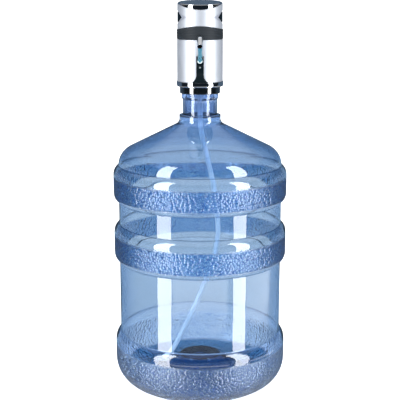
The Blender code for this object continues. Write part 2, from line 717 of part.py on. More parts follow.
def bottle_side(offset):
    """The wall from shoulder to foot, set in by the offset; an offset of zero gives the outside."""
    full = offset == 0
    shoulder_steps, foot_steps = (5, 6) if full else (3, 4)
    centre = (WALL_RADIUS - SHOULDER_ROUND_RADIUS, UPPER_BAND_TOP)
    points = arc(centre, SHOULDER_ROUND_RADIUS - offset, 90 - SHOULDER_SLOPE_DEG, 0, shoulder_steps)[:-1]
    points += band_outline(UPPER_BAND_BOTTOM, UPPER_BAND_TOP, BAND_FLARE_HEIGHT, offset, full)
    points += band_outline(MIDDLE_BAND_BOTTOM, MIDDLE_BAND_TOP, BAND_FLARE_HEIGHT, offset, full)
    ring = band_outline(0, RING_TOP, RING_FADE_HEIGHT, offset, full)
    points += ring[: len(ring) // 2]
    for step in range(foot_steps + 1):
        angle = math.pi / 2 * step / foot_steps
        reach = (BAND_RADIUS - FOOT_RADIUS - offset) * math.cos(angle)
        drop = (FOOT_ROUND_HEIGHT - offset) * math.sin(angle)
        points.append((FOOT_RADIUS + reach, FOOT_ROUND_HEIGHT - drop))
    return points


def bottle_floor(offset):
    """The pushed-up floor from the foot's inner edge to the middle, lifted by the offset."""
    foot_inner = FOOT_RADIUS - FOOT_WIDTH
    slope_shares = ((0.90, 0.22), (0.70, 0.56), (0.52, 0.86))
    boss_top = PUSH_UP_HEIGHT + BOSS_RISE + offset
    points = [(foot_inner, offset)]
    points += [(foot_inner * r, PUSH_UP_HEIGHT * h + offset) for r, h in slope_shares]
    points.append((BOSS_RADIUS, PUSH_UP_HEIGHT + offset))
    points.append((BOSS_RADIUS - BOSS_RISE / 2, boss_top))
    points.append((GATE_RADIUS + GATE_DIP / 2, boss_top))
    points.append((GATE_RADIUS - GATE_DIP / 2, boss_top - GATE_DIP))
    points.append((0, boss_top - GATE_DIP))
    return points


def water_bottle():
    outer_side = bottle_side(0)
    inner_side = bottle_side(BOTTLE_WALL)
    bore_foot = NECK_BORE_RADIUS + 2 * BOTTLE_WALL
    cone_reach = inner_side[0][0] - bore_foot
    inner_cone_top = inner_side[0][1] + cone_reach * math.tan(SHOULDER_SLOPE)
    neck = [
        (NECK_CROWN_RADIUS, MOUTH_HEIGHT),
        (NECK_CROWN_RADIUS, NECK_BEAD_TOP),
        (NECK_BEAD_RADIUS, NECK_BEAD_TOP - BOTTLE_WALL),
        (NECK_BEAD_RADIUS, NECK_BEAD_BOTTOM),
        (NECK_RADIUS, NECK_BEAD_BOTTOM - GAP),
        (NECK_RADIUS, NECK_FLANGE_TOP),
        (NECK_FLANGE_RADIUS, NECK_FLANGE_TOP - GAP),
        (NECK_FLANGE_RADIUS, NECK_FLANGE_BOTTOM),
        (NECK_FOOT_RADIUS, CONE_TOP),
    ]
    bore = [
        (bore_foot, inner_cone_top),
        (NECK_BORE_RADIUS, inner_cone_top + 2 * BOTTLE_WALL),
        (NECK_BORE_RADIUS, MOUTH_HEIGHT),
    ]
    outside = neck + outer_side + bottle_floor(0)
    inside = bottle_floor(BOTTLE_WALL)[::-1] + inner_side[::-1] + bore
    turned("water_bottle", outside + inside, "blue_polycarbonate", BOTTLE_SIDES)


# Seat on the neck


def vent_hole(name):
    return rod(name, VENT_RADIUS, COLLAR_BOTTOM, FLOOR, None, SCREW_SIDES, vent_place())


def vent_place():
    return (*polar(VENT_PITCH_RADIUS, VENT_ANGLE_DEG), 0)


def neck_gasket():
    lip_outer = NECK_BORE_RADIUS - GAP
    lip_inner = lip_outer - GASKET_LIP_WIDTH
    top = MOUTH_HEIGHT + GAP + GASKET_THICKNESS
    outline = [
        (GASKET_RADIUS, top),
        (GASKET_RADIUS, MOUTH_HEIGHT + GAP),
        (lip_outer, MOUTH_HEIGHT + GAP),
        (lip_outer, MOUTH_HEIGHT - GASKET_LIP_DEPTH),
        (lip_inner, MOUTH_HEIGHT - GASKET_LIP_DEPTH),
        (lip_inner, top),
    ]
    turned("neck_gasket", outline, "white_silicone", INNER_SIDES)


def neck_collar():
    inner = COLLAR_INNER
    lip = NECK_BEAD_RADIUS + GAP
    stem_hole = FITTING_SOCKET_RADIUS + GAP
    sink = FITTING_FLANGE_RADIUS + GAP
    outline = [
        (INSIDE_RADIUS, COLLAR_TOP),
        (INSIDE_RADIUS, COLLAR_PLATE_BOTTOM),
        (COLLAR_RADIUS, COLLAR_PLATE_BOTTOM),
        (COLLAR_RADIUS, COLLAR_BOTTOM + COLLAR_ROUND_RADIUS),
        (COLLAR_RADIUS - COLLAR_ROUND_RADIUS / 3, COLLAR_BOTTOM + COLLAR_ROUND_RADIUS / 3),
        (COLLAR_RADIUS - COLLAR_ROUND_RADIUS * 2 / 3, COLLAR_BOTTOM),
        (lip, COLLAR_BOTTOM),
        (lip, COLLAR_BOTTOM + COLLAR_LIP_HEIGHT),
        (inner, COLLAR_BOTTOM + 2 * COLLAR_LIP_HEIGHT),
        (inner, COLLAR_PLATE_BOTTOM),
        (stem_hole, COLLAR_PLATE_BOTTOM),
        (stem_hole, COLLAR_TOP - COLLAR_SINK_DEPTH),
        (sink, COLLAR_TOP - COLLAR_SINK_DEPTH),
        (sink, COLLAR_TOP),
    ]
    collar = turned("neck_collar", outline, "gloss_black")
    combine(collar, vent_hole("collar_vent"))
    for angle in COLLAR_SCREW_ANGLES_DEG:
        combine(collar, screw_hole("collar_screw_hole", COLLAR_SCREW_REACH, angle, FRAME_TOP))


def base_ring():
    inner = COLLAR_RADIUS + GAP
    outline = [
        (INSIDE_RADIUS, COLLAR_PLATE_BOTTOM - GAP),
        (INSIDE_RADIUS, BASE_RING_TOP),
        (BASE_RING_RADIUS, BASE_RING_TOP),
        (BASE_RING_RADIUS, BASE_RING_BOTTOM + BASE_RING_ROUND_RADIUS),
        (BASE_RING_RADIUS - BASE_RING_ROUND_RADIUS / 3, BASE_RING_BOTTOM + BASE_RING_ROUND_RADIUS / 3),
        (BASE_RING_RADIUS - BASE_RING_ROUND_RADIUS, BASE_RING_BOTTOM),
        (inner, BASE_RING_BOTTOM),
        (inner, COLLAR_PLATE_BOTTOM - GAP),
    ]
    turned("base_ring", outline, "chrome")


# Casing


def spout_hole(name):
    reach = GRIP_RADIUS + OVERRUN
    start = SPOUT_INNER_END
    place = (0, 0, SPOUT_HEIGHT)
    return rod(name, SPOUT_RADIUS + GAP, start, reach, None, SMALL_SIDES, place, FACING_FRONT)


def lens_hole(name):
    place = (0, 0, LENS_HEIGHT)
    reach = LENS_FACE_REACH + OVERRUN
    return rod(name, LENS_RADIUS + GAP, FRONT_BOARD_REACH, reach, None, SCREW_SIDES, place, FACING_FRONT)


def lever_lug(side):
    """One of the two ears on the lower shell that hold the lever's pin."""
    axis = (-LEVER_AXIS_REACH, LEVER_AXIS_HEIGHT)
    root = -(SHELL_RADIUS - SHELL_WALL / 2)
    outline = [(root, axis[1] + LUG_ROUND)] + arc(axis, LUG_ROUND, 90, 270, 8)
    outline.append((root, axis[1] - LUG_ROUND))
    near = LEVER_EYE_HALF_WIDTH + GAP
    ends = sorted((side * near, side * (near + LUG_WIDTH)))
    return plate("lever_lug", outline, ends[0], ends[1], None, RIGHT)


def pin_hole(name, radius):
    half = LEVER_EYE_HALF_WIDTH + LUG_WIDTH + OVERRUN
    place = (0, -LEVER_AXIS_REACH, LEVER_AXIS_HEIGHT)
    return rod(name, radius, -half, half, None, SCREW_SIDES, place, facing_side(1))


def lower_shell():
    outline = [
        (UNDER_GRIP_RADIUS, SHELL_JOINT_HEIGHT),
        (UNDER_GRIP_RADIUS, GRIP_BOTTOM - GAP),
        (SHELL_RADIUS, GRIP_BOTTOM - GAP),
        (SHELL_RADIUS, SHELL_BOTTOM),
        (SHELL_INNER, SHELL_BOTTOM),
        (SHELL_INNER, SHELL_JOINT_HEIGHT),
    ]
    shell = turned("lower_shell", outline, "satin_silver")
    combine(shell, spout_hole("lower_spout_hole"))
    combine(shell, lens_hole("shell_lens_hole"))
    tab_height = LEVER_AXIS_HEIGHT - TAB_DROP
    slot_x = TAB_WIDTH / 2 + SLOT_CLEARANCE
    slot_z = TAB_HEIGHT / 2 + SLOT_CLEARANCE
    slot_low = (-slot_x, -SHELL_RADIUS - OVERRUN, tab_height - slot_z)
    slot_high = (slot_x, -SHELL_INNER + OVERRUN, tab_height + slot_z)
    combine(shell, box("tab_slot", slot_low, slot_high))
    port_x = PORT_WIDTH / 2 + PORT_CLEARANCE
    port_z = PORT_THICKNESS / 2 + PORT_CLEARANCE
    port_low = (-port_x, SHELL_INNER - OVERRUN, PORT_HEIGHT - port_z)
    port_high = (port_x, SHELL_RADIUS + OVERRUN, PORT_HEIGHT + port_z)
    combine(shell, box("port_hole", port_low, port_high))
    hole = pin_hole("lug_pin_hole", PIN_RADIUS + GAP)
    for side in (-1, 1):
        combine(shell, combine(lever_lug(side), hole), "UNION")


def grip_band():
    """Ribbed rubber band whose upper edge arches up at the front and the back."""
    valley = GRIP_RADIUS - GRIP_RIB_RISE
    edge_share, slope_share, crest_share = 0.06, 0.45, 0.55
    rib_share = (1 - edge_share - edge_share) / GRIP_RIBS
    outline = [(valley, 1)]
    for rib in reversed(range(GRIP_RIBS)):
        low_share = edge_share + rib_share * rib
        outline.append((GRIP_RADIUS, low_share + rib_share * crest_share))
        outline.append((GRIP_RADIUS, low_share + rib_share * slope_share))
        outline.append((valley, low_share))
    outline += [(valley, 0), (GRIP_INNER, 0), (GRIP_INNER, 1)]

    def loop_at(radius, share):
        return lambda angle: (radius, GRIP_BOTTOM + share * (grip_top(angle) - GRIP_BOTTOM))

    band = wavy_ring("grip_band", [loop_at(r, s) for r, s in outline], "black_silicone")
    combine(band, spout_hole("band_spout_hole"))


def diamond(half_width, half_height):
    return [(-half_width, 0), (0, -half_height), (half_width, 0), (0, half_height)]


def side_frame(side):
    return Matrix.Rotation(0 if side > 0 else math.pi, 4, "Z") @ Matrix.Translation((0, 0, PAD_HEIGHT)) @ RIGHT


def side_prism(name, half_width, half_height, side, look=None):
    """A diamond prism that reaches out through one side of the upper shell."""
    outline = diamond(half_width, half_height)
    far = UPPER_SHELL_RADIUS + OVERRUN
    near = UPPER_INNER / 2
    return plate(name, outline, near, far, look, side_frame(side))


def scoop_cutter(side):
    """The diamond prism less a slightly larger drum, so that the scoop fades out at its tips."""
    prism = side_prism("scoop", SCOOP_HALF_WIDTH, SCOOP_HALF_HEIGHT, side)
    offset = SCOOP_FLOOR_RADIUS - (UPPER_SHELL_RADIUS - SCOOP_DEPTH)
    low = PAD_HEIGHT - 2 * SCOOP_HALF_HEIGHT
    high = PAD_HEIGHT + 2 * SCOOP_HALF_HEIGHT
    place = (-side * offset, 0, 0)
    drum = rod("scoop_drum", SCOOP_FLOOR_RADIUS, low, high, None, 2 * SHELL_SIDES, place)
    return combine(prism, drum)


def upper_shell():
    inner_bottom = SHELL_JOINT_HEIGHT + GAP
    loops = (
        lambda angle: (UPPER_SHELL_RADIUS, rim_bottom(angle) - GAP),
        lambda angle: (UPPER_SHELL_RADIUS, grip_top(angle) + GAP),
        lambda angle: (UNDER_GRIP_RADIUS, grip_top(angle) + GAP),
        lambda angle: (UNDER_GRIP_RADIUS, inner_bottom),
        lambda angle: (UPPER_INNER, inner_bottom),
        lambda angle: (UPPER_INNER, rim_bottom(angle) - GAP),
    )
    shell = wavy_ring("upper_shell", loops, "satin_silver")
    for side in (-1, 1):
        combine(shell, scoop_cutter(side))
        window_width = PAD_HALF_WIDTH + 2 * PAD_CLEARANCE
        window_height = PAD_HALF_HEIGHT + PAD_CLEARANCE
        combine(shell, side_prism("pad_window", window_width, window_height, side))


# Slanted top


def top_rim():
    loops = (
        lambda angle: (TOP_RIM_OUTER, top_plane(angle, TOP_RIM_OUTER)),
        lambda angle: (UPPER_SHELL_RADIUS, rim_bottom(angle)),
        lambda angle: (TOP_RIM_INNER, rim_bottom(angle)),
        lambda angle: (TOP_RIM_INNER, top_plane(angle, TOP_RIM_INNER)),
    )
    wavy_ring("top_rim", loops, "chrome")


def top_switch_top():
    return SWITCH_BOTTOM + SWITCH_HEIGHT + SWITCH_NUB_HEIGHT


def plunger_length():
    """From the disc's face down its own axis, leaving the travel above the switch."""
    drop = TOP_HEIGHT - top_switch_top() - TOP_BUTTON_TRAVEL - GAP
    return drop / math.cos(SLANT) - PLUNGER_RADIUS * math.sin(SLANT)


def top_button():
    foot = -plunger_length()
    outline = [
        (0, 0),
        (TOP_BUTTON_RADIUS - TOP_BUTTON_EDGE_WIDTH, 0),
        (TOP_BUTTON_RADIUS, -TOP_BUTTON_EDGE_WIDTH),
        (TOP_BUTTON_RADIUS, -TOP_BUTTON_THICKNESS),
        (PLUNGER_RADIUS, -TOP_BUTTON_THICKNESS),
        (PLUNGER_RADIUS, foot),
        (0, foot),
    ]
    turned("top_button", outline, "smoked_disc", SHELL_SIDES, (0, 0, TOP_HEIGHT), (SLANT, 0, 0))


def coil(name, frame, radius, start, end, turns, wire):
    """A spring's wire from start to end along the frame's own Z."""
    points = []
    count = turns * SPRING_TURN_POINTS
    for step in range(count + 1):
        angle = math.tau * step / SPRING_TURN_POINTS
        height = start + (end - start) * step / count
        points.append(frame @ Vector((radius * math.cos(angle), radius * math.sin(angle), height)))
    tube(name, points, wire, "bright_steel", 1)


def button_spring():
    frame = Matrix.Translation((0, 0, TOP_HEIGHT)) @ Matrix.Rotation(SLANT, 4, "X")
    edge_drop = BUTTON_SPRING_RADIUS * math.sin(SLANT)
    rest = (TOP_HEIGHT - BOARD_TOP - edge_drop) / math.cos(SLANT)
    clear = GAP + SPRING_WIRE_RADIUS
    start = -(TOP_BUTTON_THICKNESS + clear)
    end = -(rest - 2 * clear)
    coil("button_spring", frame, BUTTON_SPRING_RADIUS, start, end, BUTTON_SPRING_TURNS, SPRING_WIRE_RADIUS)


def side_button(side, name):
    """A diamond pad in the shell's window, with a wider flange and a stem inside."""
    pad = side_prism(name + "_side_button", PAD_HALF_WIDTH, PAD_HALF_HEIGHT, side, "gloss_black")
    low = PAD_HEIGHT - 2 * PAD_HALF_HEIGHT
    high = PAD_HEIGHT + 2 * PAD_HALF_HEIGHT
    flange_outer = UPPER_INNER - GAP
    flange_inner = flange_outer - PAD_FLANGE_THICKNESS
    combine(pad, sleeve("pad_ring", flange_inner, PAD_RADIUS, low, high, None, SHELL_SIDES), "INTERSECT")
    flange_width = PAD_HALF_WIDTH + 2 * PAD_FLANGE_WIDTH
    flange_height = PAD_HALF_HEIGHT + PAD_FLANGE_WIDTH
    flange = side_prism("pad_flange", flange_width, flange_height, side)
    ring = sleeve("flange_ring", flange_inner, flange_outer, low, high, None, SHELL_SIDES)
    combine(flange, ring, "INTERSECT")
    combine(pad, flange, "UNION")
    stem_start = SIDE_SWITCH_FACE + SWITCH_NUB_HEIGHT + PAD_TRAVEL + GAP
    stem_end = flange_inner + PAD_FLANGE_THICKNESS / 2
    place = (0, 0, PAD_HEIGHT)
    stem = rod("pad_stem", PAD_STEM_RADIUS, stem_start, stem_end, None, SCREW_SIDES, place, facing_side(side))
    combine(pad, stem, "UNION")


def side_spring(side, name):
    frame = Matrix.Rotation(0 if side > 0 else math.pi, 4, "Z")
    frame = frame @ Matrix.Translation((0, 0, PAD_HEIGHT)) @ Matrix.Rotation(math.pi / 2, 4, "Y")
    clear = GAP + SPRING_WIRE_RADIUS
    flange_inner = UPPER_INNER - GAP - PAD_FLANGE_THICKNESS
    end = math.sqrt(flange_inner**2 - PAD_SPRING_RADIUS**2) - clear
    start = SIDE_SWITCH_FACE + clear
    coil(name + "_button_spring", frame, PAD_SPRING_RADIUS, start, end, PAD_SPRING_TURNS, SPRING_WIRE_RADIUS)


# Spout and the way to it


def spout_line():
    """The spout's middle line from inside the casing, round the bend, to its tip."""
    points = [Vector((0, -SPOUT_INNER_END, SPOUT_HEIGHT))]
    for step in range(SPOUT_BEND_STEPS + 1):
        angle = math.radians(SPOUT_ANGLE_DEG) * step / SPOUT_BEND_STEPS
        reach = SPOUT_BEND_START + SPOUT_BEND_RADIUS * math.sin(angle)
        drop = SPOUT_BEND_RADIUS * (1 - math.cos(angle))
        points.append(Vector((0, -reach, SPOUT_HEIGHT - drop)))
    angle = math.radians(SPOUT_ANGLE_DEG)
    heading = Vector((0, -math.cos(angle), -math.sin(angle)))
    points.append(points[-1] + heading * SPOUT_TIP_LENGTH)
    return points


def run_on(points, length):
    """The same line made longer at both ends."""
    first = points[0] + (points[0] - points[1]).normalized() * length
    last = points[-1] + (points[-1] - points[-2]).normalized() * length
    return [first] + points + [last]


def bored_pipe(name, points, outer, bore, look, resolution):
    pipe = tube(name, points, outer, look, resolution, True)
    combine(pipe, tube(name + "_bore", run_on(points, OVERRUN), bore, None, resolution, True))
    return pipe


def spout_nut():
    outline = [polar(SPOUT_NUT_WIDTH / math.sqrt(3), 60 * corner) for corner in range(6)]
    frame = Matrix.Translation((0, 0, SPOUT_HEIGHT)) @ FRONT
    nut = plate("spout_nut", outline, SPOUT_NUT_REACH, SPOUT_NUT_REACH + SPOUT_NUT_THICKNESS, "brass", frame)
    combine(nut, spout_hole("nut_hole"))


def nipple_place():
    return PUMP_X, PUMP_Y - OUTLET_OFFSET


def outlet_elbow():
    """A moulded pipe from the pump head's nipple up and forward to the spout."""
    route_shares = (
        (1, 1, 0),
        (1, 1, 0.18),
        (1, 1, 0.38),
        (0.93, 1.03, 0.56),
        (0.68, 1.20, 0.76),
        (0.30, 1.55, 0.93),
        (0, 2, 1),
    )
    x, y = nipple_place()
    root = HEAD_TOP + GAP
    rise = SPOUT_HEIGHT - root
    route = [(x * across, y * out, root + rise * up) for across, out, up in route_shares]
    route.append((0, GAP - SPOUT_INNER_END, SPOUT_HEIGHT))
    points = smooth_route(route, ELBOW_POINT_SPACING)
    bored_pipe("outlet_elbow", points, ELBOW_RADIUS, ELBOW_BORE_RADIUS, "white_silicone", 2)


# Lever and spine


def push_lever():
    """A bar hung below the spout; its origin is the pin's axis."""
    half_top = LEVER_TOP_WIDTH / 2
    half_low = LEVER_LOW_WIDTH / 2
    toe_angle = math.degrees(math.acos(half_low / LEVER_TOE_RADIUS))
    outline = [(LEVER_EYE_HALF_WIDTH, 0), (LEVER_EYE_HALF_WIDTH, -LEVER_SHOULDER_DROP)]
    outline.append((half_top, -LEVER_SHOULDER_DROP - GAP))
    outline += arc((0, -LEVER_TOE_DROP), LEVER_TOE_RADIUS, toe_angle, -180 - toe_angle, 14)
    outline.append((-half_top, -LEVER_SHOULDER_DROP - GAP))
    outline += [(-LEVER_EYE_HALF_WIDTH, -LEVER_SHOULDER_DROP), (-LEVER_EYE_HALF_WIDTH, 0)]
    place = (0, -LEVER_AXIS_REACH, LEVER_AXIS_HEIGHT)
    frame = Matrix.Translation(place) @ FRONT
    half = LEVER_THICKNESS / 2
    lever = plate("push_lever", outline, -half, half, "teal_plastic", frame)
    eye_ends = -LEVER_EYE_HALF_WIDTH, LEVER_EYE_HALF_WIDTH
    eye = rod("lever_eye", LEVER_EYE_RADIUS, *eye_ends, None, SMALL_SIDES, place, facing_side(1))
    combine(lever, eye, "UNION")
    low = (-TAB_WIDTH / 2, -LEVER_AXIS_REACH, TAB_MIDDLE - TAB_HEIGHT / 2)
    high = (TAB_WIDTH / 2, -tab_end(), TAB_MIDDLE + TAB_HEIGHT / 2)
    combine(lever, box("lever_tab", low, high), "UNION")
    combine(lever, pin_hole("lever_pin_hole", PIN_RADIUS + GAP))


def lever_switch_face():
    return FRONT_BOARD_REACH + BOARD_THICKNESS + GAP + LEVER_SWITCH_DEPTH


def tab_end():
    """Distance of the tab's tip from the casing's axis, so that a full push just reaches the switch."""
    swing = TAB_DROP * math.sin(LEVER_SWING) + (TAB_HEIGHT + GAP) * math.sin(LEVER_SWING)
    return lever_switch_face() + SWITCH_NUB_HEIGHT + swing + GAP


def lever_pin():
    half = LEVER_EYE_HALF_WIDTH + GAP + LUG_WIDTH
    place = (0, -LEVER_AXIS_REACH, LEVER_AXIS_HEIGHT)
    rod("lever_pin", PIN_RADIUS, -half, half, "bright_steel", SCREW_SIDES, place, facing_side(1))


def lever_spring():
    place = (0, 0, LEVER_AXIS_HEIGHT - LEVER_SPRING_DROP)
    frame = Matrix.Translation(place) @ Matrix.Rotation(math.pi / 2, 4, "X")
    clear = GAP + LEVER_SPRING_WIRE
    start = SHELL_RADIUS + clear
    end = LEVER_AXIS_REACH - LEVER_THICKNESS / 2 - clear
    coil("lever_spring", frame, LEVER_SPRING_RADIUS, start, end, LEVER_SPRING_TURNS, LEVER_SPRING_WIRE)


def front_spine():
    """The black strip up the front: flared at its foot, forked round the lever's toe at its top."""
    right = []
    flare = SPINE_FOOT_HALF_WIDTH - SPINE_HALF_WIDTH
    for step in range(SPINE_FLARE_STEPS + 1):
        share = step / SPINE_FLARE_STEPS
        width = SPINE_HALF_WIDTH + flare * (1 - share) ** SPINE_FLARE_POWER
        right.append((width, SHELL_BOTTOM + SPINE_FLARE_HEIGHT * share))
    right.append((SPINE_HALF_WIDTH, SPINE_TOP))
    outline = right + [(-x, z) for x, z in reversed(right)]
    back = SHELL_RADIUS + GAP
    far = SPINE_HIGH_RADIUS + OVERRUN
    spine = plate("front_spine", outline, back / 2, far, "gloss_black", FRONT)
    high = SPINE_TOP + OVERRUN
    low = SHELL_BOTTOM - OVERRUN
    skin = [
        (SPINE_HIGH_RADIUS, high),
        (SPINE_HIGH_RADIUS, SPINE_HIGH_HEIGHT),
        (SPINE_MID_RADIUS, SPINE_MID_HEIGHT),
        (SPINE_LOW_RADIUS, low),
        (back, low),
        (back, high),
    ]
    combine(spine, turned("spine_skin", skin, None, 2 * SHELL_SIDES), "INTERSECT")
    half = LEVER_TOE_RADIUS + CRADLE_CLEARANCE
    toe = (0, TOE_MIDDLE)
    pocket = arc(toe, half, 180, 360, 12) + [(half, high), (-half, high)]
    combine(spine, plate("cradle", pocket, back / 2, far, None, FRONT))
    combine(spine, lens_hole("spine_lens_hole"))


def status_light():
    place = (0, 0, LENS_HEIGHT)
    inner = LENS_FACE_REACH - LENS_LENGTH
    rod("light_lens", LENS_RADIUS, inner, LENS_FACE_REACH, "clear_lens", SCREW_SIDES, place, FACING_FRONT)
    face = FRONT_BOARD_REACH + BOARD_THICKNESS + GAP
    rod("status_led", LENS_RADIUS, face, inner - GAP, "clear_lens", SCREW_SIDES, place, FACING_FRONT)


def front_board():
    far = FRONT_BOARD_REACH + BOARD_THICKNESS
    half = FRONT_BOARD_HALF_WIDTH
    box("front_board", (-half, -far, FLOOR), (half, -FRONT_BOARD_REACH, FRONT_BOARD_TOP), "green_laminate")


def lever_switch():
    face = lever_switch_face()
    middle = LEVER_AXIS_HEIGHT - TAB_DROP
    half_width = LEVER_SWITCH_WIDTH / 2
    low = (-half_width, -face, middle - LEVER_SWITCH_HEIGHT / 2)
    high = (half_width, -(face - LEVER_SWITCH_DEPTH), middle + LEVER_SWITCH_HEIGHT / 2)
    switch = box("lever_switch", low, high, "black_nylon")
    nub_ends = face - SWITCH_NUB_HEIGHT, face + SWITCH_NUB_HEIGHT
    nub = rod("lever_nub", SWITCH_NUB_RADIUS, *nub_ends, None, SCREW_SIDES, (0, 0, middle), FACING_FRONT)
    combine(switch, nub, "UNION")


# Charging port


def charging_port():
    half_x, half_z = PORT_WIDTH / 2, PORT_THICKNESS / 2
    inner_end = PORT_REACH - PORT_DEPTH
    low = (-half_x, inner_end, PORT_HEIGHT - half_z)
    high = (half_x, PORT_REACH, PORT_HEIGHT + half_z)
    port = box("charging_port", low, high, "bright_steel")
    floor = inner_end + 2 * PORT_METAL_THICKNESS
    low = (-half_x + PORT_METAL_THICKNESS, floor, PORT_HEIGHT - half_z + PORT_METAL_THICKNESS)
    high = (half_x - PORT_METAL_THICKNESS, PORT_REACH + OVERRUN, PORT_HEIGHT + half_z - PORT_METAL_THICKNESS)
    combine(port, box("port_cavity", low, high))
    low = (-TONGUE_WIDTH / 2, floor + GAP, PORT_HEIGHT - TONGUE_THICKNESS / 2)
    high = (TONGUE_WIDTH / 2, floor + GAP + TONGUE_LENGTH, PORT_HEIGHT + TONGUE_THICKNESS / 2)
    box("port_tongue", low, high, "black_nylon")


def rear_board():
    face = PORT_REACH - PORT_DEPTH - GAP
    half = REAR_BOARD_HALF_WIDTH
    box("rear_board", (-half, face - BOARD_THICKNESS, FLOOR), (half, face, REAR_BOARD_TOP), "green_laminate")


def rounded_rectangle(low, high, corner, steps=4):
    """Corners anticlockwise from the lower right, each an arc."""
    centres = (
        (high[0] - corner, low[1] + corner, -90),
        (high[0] - corner, high[1] - corner, 0),
        (low[0] + corner, high[1] - corner, 90),
        (low[0] + corner, low[1] + corner, 180),
    )
    points = []
    for x, y, start in centres:
        points += arc((x, y), corner, start, start + 90, steps)
    return points


def curved_patch(name, low, high, corner, look, centre):
    """A rounded patch of rubber lying on the back of the lower shell, its origin at the centre."""
    frame = Matrix.Translation(centre) @ BACK
    reach = COVER_THICKNESS + OVERRUN
    patch = plate(name, rounded_rectangle(low, high, corner), -reach, reach, look, frame)
    inner = SHELL_RADIUS + GAP
    bottom = centre[2] + low[1] - OVERRUN
    top = centre[2] + high[1] + OVERRUN
    ring = sleeve(name + "_ring", inner, inner + COVER_THICKNESS, bottom, top, None, 2 * SHELL_SIDES)
    return combine(patch, ring, "INTERSECT")


def port_cover():
    half = COVER_WIDTH / 2
    hinge = (0, COVER_HINGE_REACH, COVER_HINGE_HEIGHT)
    curved_patch("port_cover", (-half, 0), (half, COVER_LENGTH), COVER_CORNER_RADIUS, "black_silicone", hinge)
    low = (-half, -ANCHOR_DROP - ANCHOR_HEIGHT)
    high = (half, -ANCHOR_DROP)
    curved_patch("cover_anchor", low, high, ANCHOR_HEIGHT / 3, "black_silicone", hinge)


# Frame, deck and board


def screw_place(reach, angle, seat):
    return (*polar(reach, angle), seat)


def screw_hole(name, reach, angle, seat):
    """Clearance for a screw whose head sits at the seat height."""
    depth = SCREW_LENGTH + 2 * GAP
    place = screw_place(reach, angle, seat)
    return rod(name, SCREW_RADIUS + GAP, -depth, OVERRUN, None, SCREW_SIDES, place)


def screw(name, reach, angle, seat):
    outline = [
        (0, SCREW_HEAD_HEIGHT),
        (SCREW_HEAD_RADIUS, SCREW_HEAD_HEIGHT),
        (SCREW_HEAD_RADIUS, 0),
        (SCREW_RADIUS, 0),
        (SCREW_RADIUS, -SCREW_LENGTH),
        (0, -SCREW_LENGTH),
    ]
    turned(name, outline, "bright_steel", SCREW_SIDES, screw_place(reach, angle, seat + GAP))


def screws():
    for number, angle in enumerate(COLLAR_SCREW_ANGLES_DEG, 1):
        screw(f"collar_screw_{number}", COLLAR_SCREW_REACH, angle, FRAME_TOP)
    for number, angle in enumerate(POST_ANGLES_DEG, 1):
        screw(f"deck_screw_{number}", POST_REACH, angle, DECK_TOP)
    for number, angle in enumerate(BOARD_BOSS_ANGLES_DEG, 1):
        screw(f"board_screw_{number}", BOARD_BOSS_PITCH_RADIUS, angle, BOARD_TOP)


def frame():
    made = rod("frame", INSIDE_RADIUS, FRAME_BOTTOM, FRAME_TOP, "black_nylon", INNER_SIDES)
    for angle in POST_ANGLES_DEG:
        place = (*polar(POST_REACH, angle), 0)
        low = FRAME_BOTTOM + FRAME_PLATE_THICKNESS / 2
        post = rod("post", POST_RADIUS, low, DECK_BOTTOM - GAP, None, SCREW_SIDES, place)
        combine(made, post, "UNION")
        combine(made, screw_hole("post_screw_hole", POST_REACH, angle, DECK_TOP))
    for angle in COLLAR_SCREW_ANGLES_DEG:
        combine(made, screw_hole("frame_screw_hole", COLLAR_SCREW_REACH, angle, FRAME_TOP))
    hole = rod("frame_barb_hole", BARB_HOLE_RADIUS, COLLAR_BOTTOM, FLOOR, None, SMALL_SIDES)
    combine(made, hole)
    combine(made, vent_hole("frame_vent"))


def deck():
    made = rod("deck", DECK_RADIUS, DECK_BOTTOM, DECK_TOP, "black_nylon", INNER_SIDES)
    for angle in BOARD_BOSS_ANGLES_DEG:
        place = (*polar(BOARD_BOSS_PITCH_RADIUS, angle), 0)
        low = DECK_TOP - DECK_THICKNESS / 2
        boss = rod("board_boss", BOARD_BOSS_RADIUS, low, BOARD_BOTTOM - GAP, None, SCREW_SIDES, place)
        combine(made, boss, "UNION")
        combine(made, screw_hole("boss_screw_hole", BOARD_BOSS_PITCH_RADIUS, angle, BOARD_TOP))
    for angle in POST_ANGLES_DEG:
        combine(made, screw_hole("deck_screw_hole", POST_REACH, angle, DECK_TOP))


def control_board():
    made = rod("control_board", BOARD_RADIUS, BOARD_BOTTOM, BOARD_TOP, "green_laminate", INNER_SIDES)
    for angle in BOARD_BOSS_ANGLES_DEG:
        combine(made, screw_hole("board_screw_hole", BOARD_BOSS_PITCH_RADIUS, angle, BOARD_TOP))
    start = -CHIP_OFFSET - CHIP_WIDTH
    low = (start, CHIP_OFFSET / 2, SWITCH_BOTTOM)
    high = (start + CHIP_WIDTH, CHIP_OFFSET / 2 + CHIP_WIDTH, SWITCH_BOTTOM + CHIP_THICKNESS)
    box("controller_chip", low, high, "black_nylon")


def top_switch():
    half = SWITCH_WIDTH / 2
    y = (TOP_HEIGHT - top_switch_top()) * math.tan(SLANT)
    roof = SWITCH_BOTTOM + SWITCH_HEIGHT
    switch = box("top_switch", (-half, y - half, SWITCH_BOTTOM), (half, y + half, roof), "black_nylon")
    nub_ends = roof - SWITCH_NUB_HEIGHT, roof + SWITCH_NUB_HEIGHT
    nub = rod("top_nub", SWITCH_NUB_RADIUS, *nub_ends, None, SCREW_SIDES, (0, y, 0))
    combine(switch, nub, "UNION")


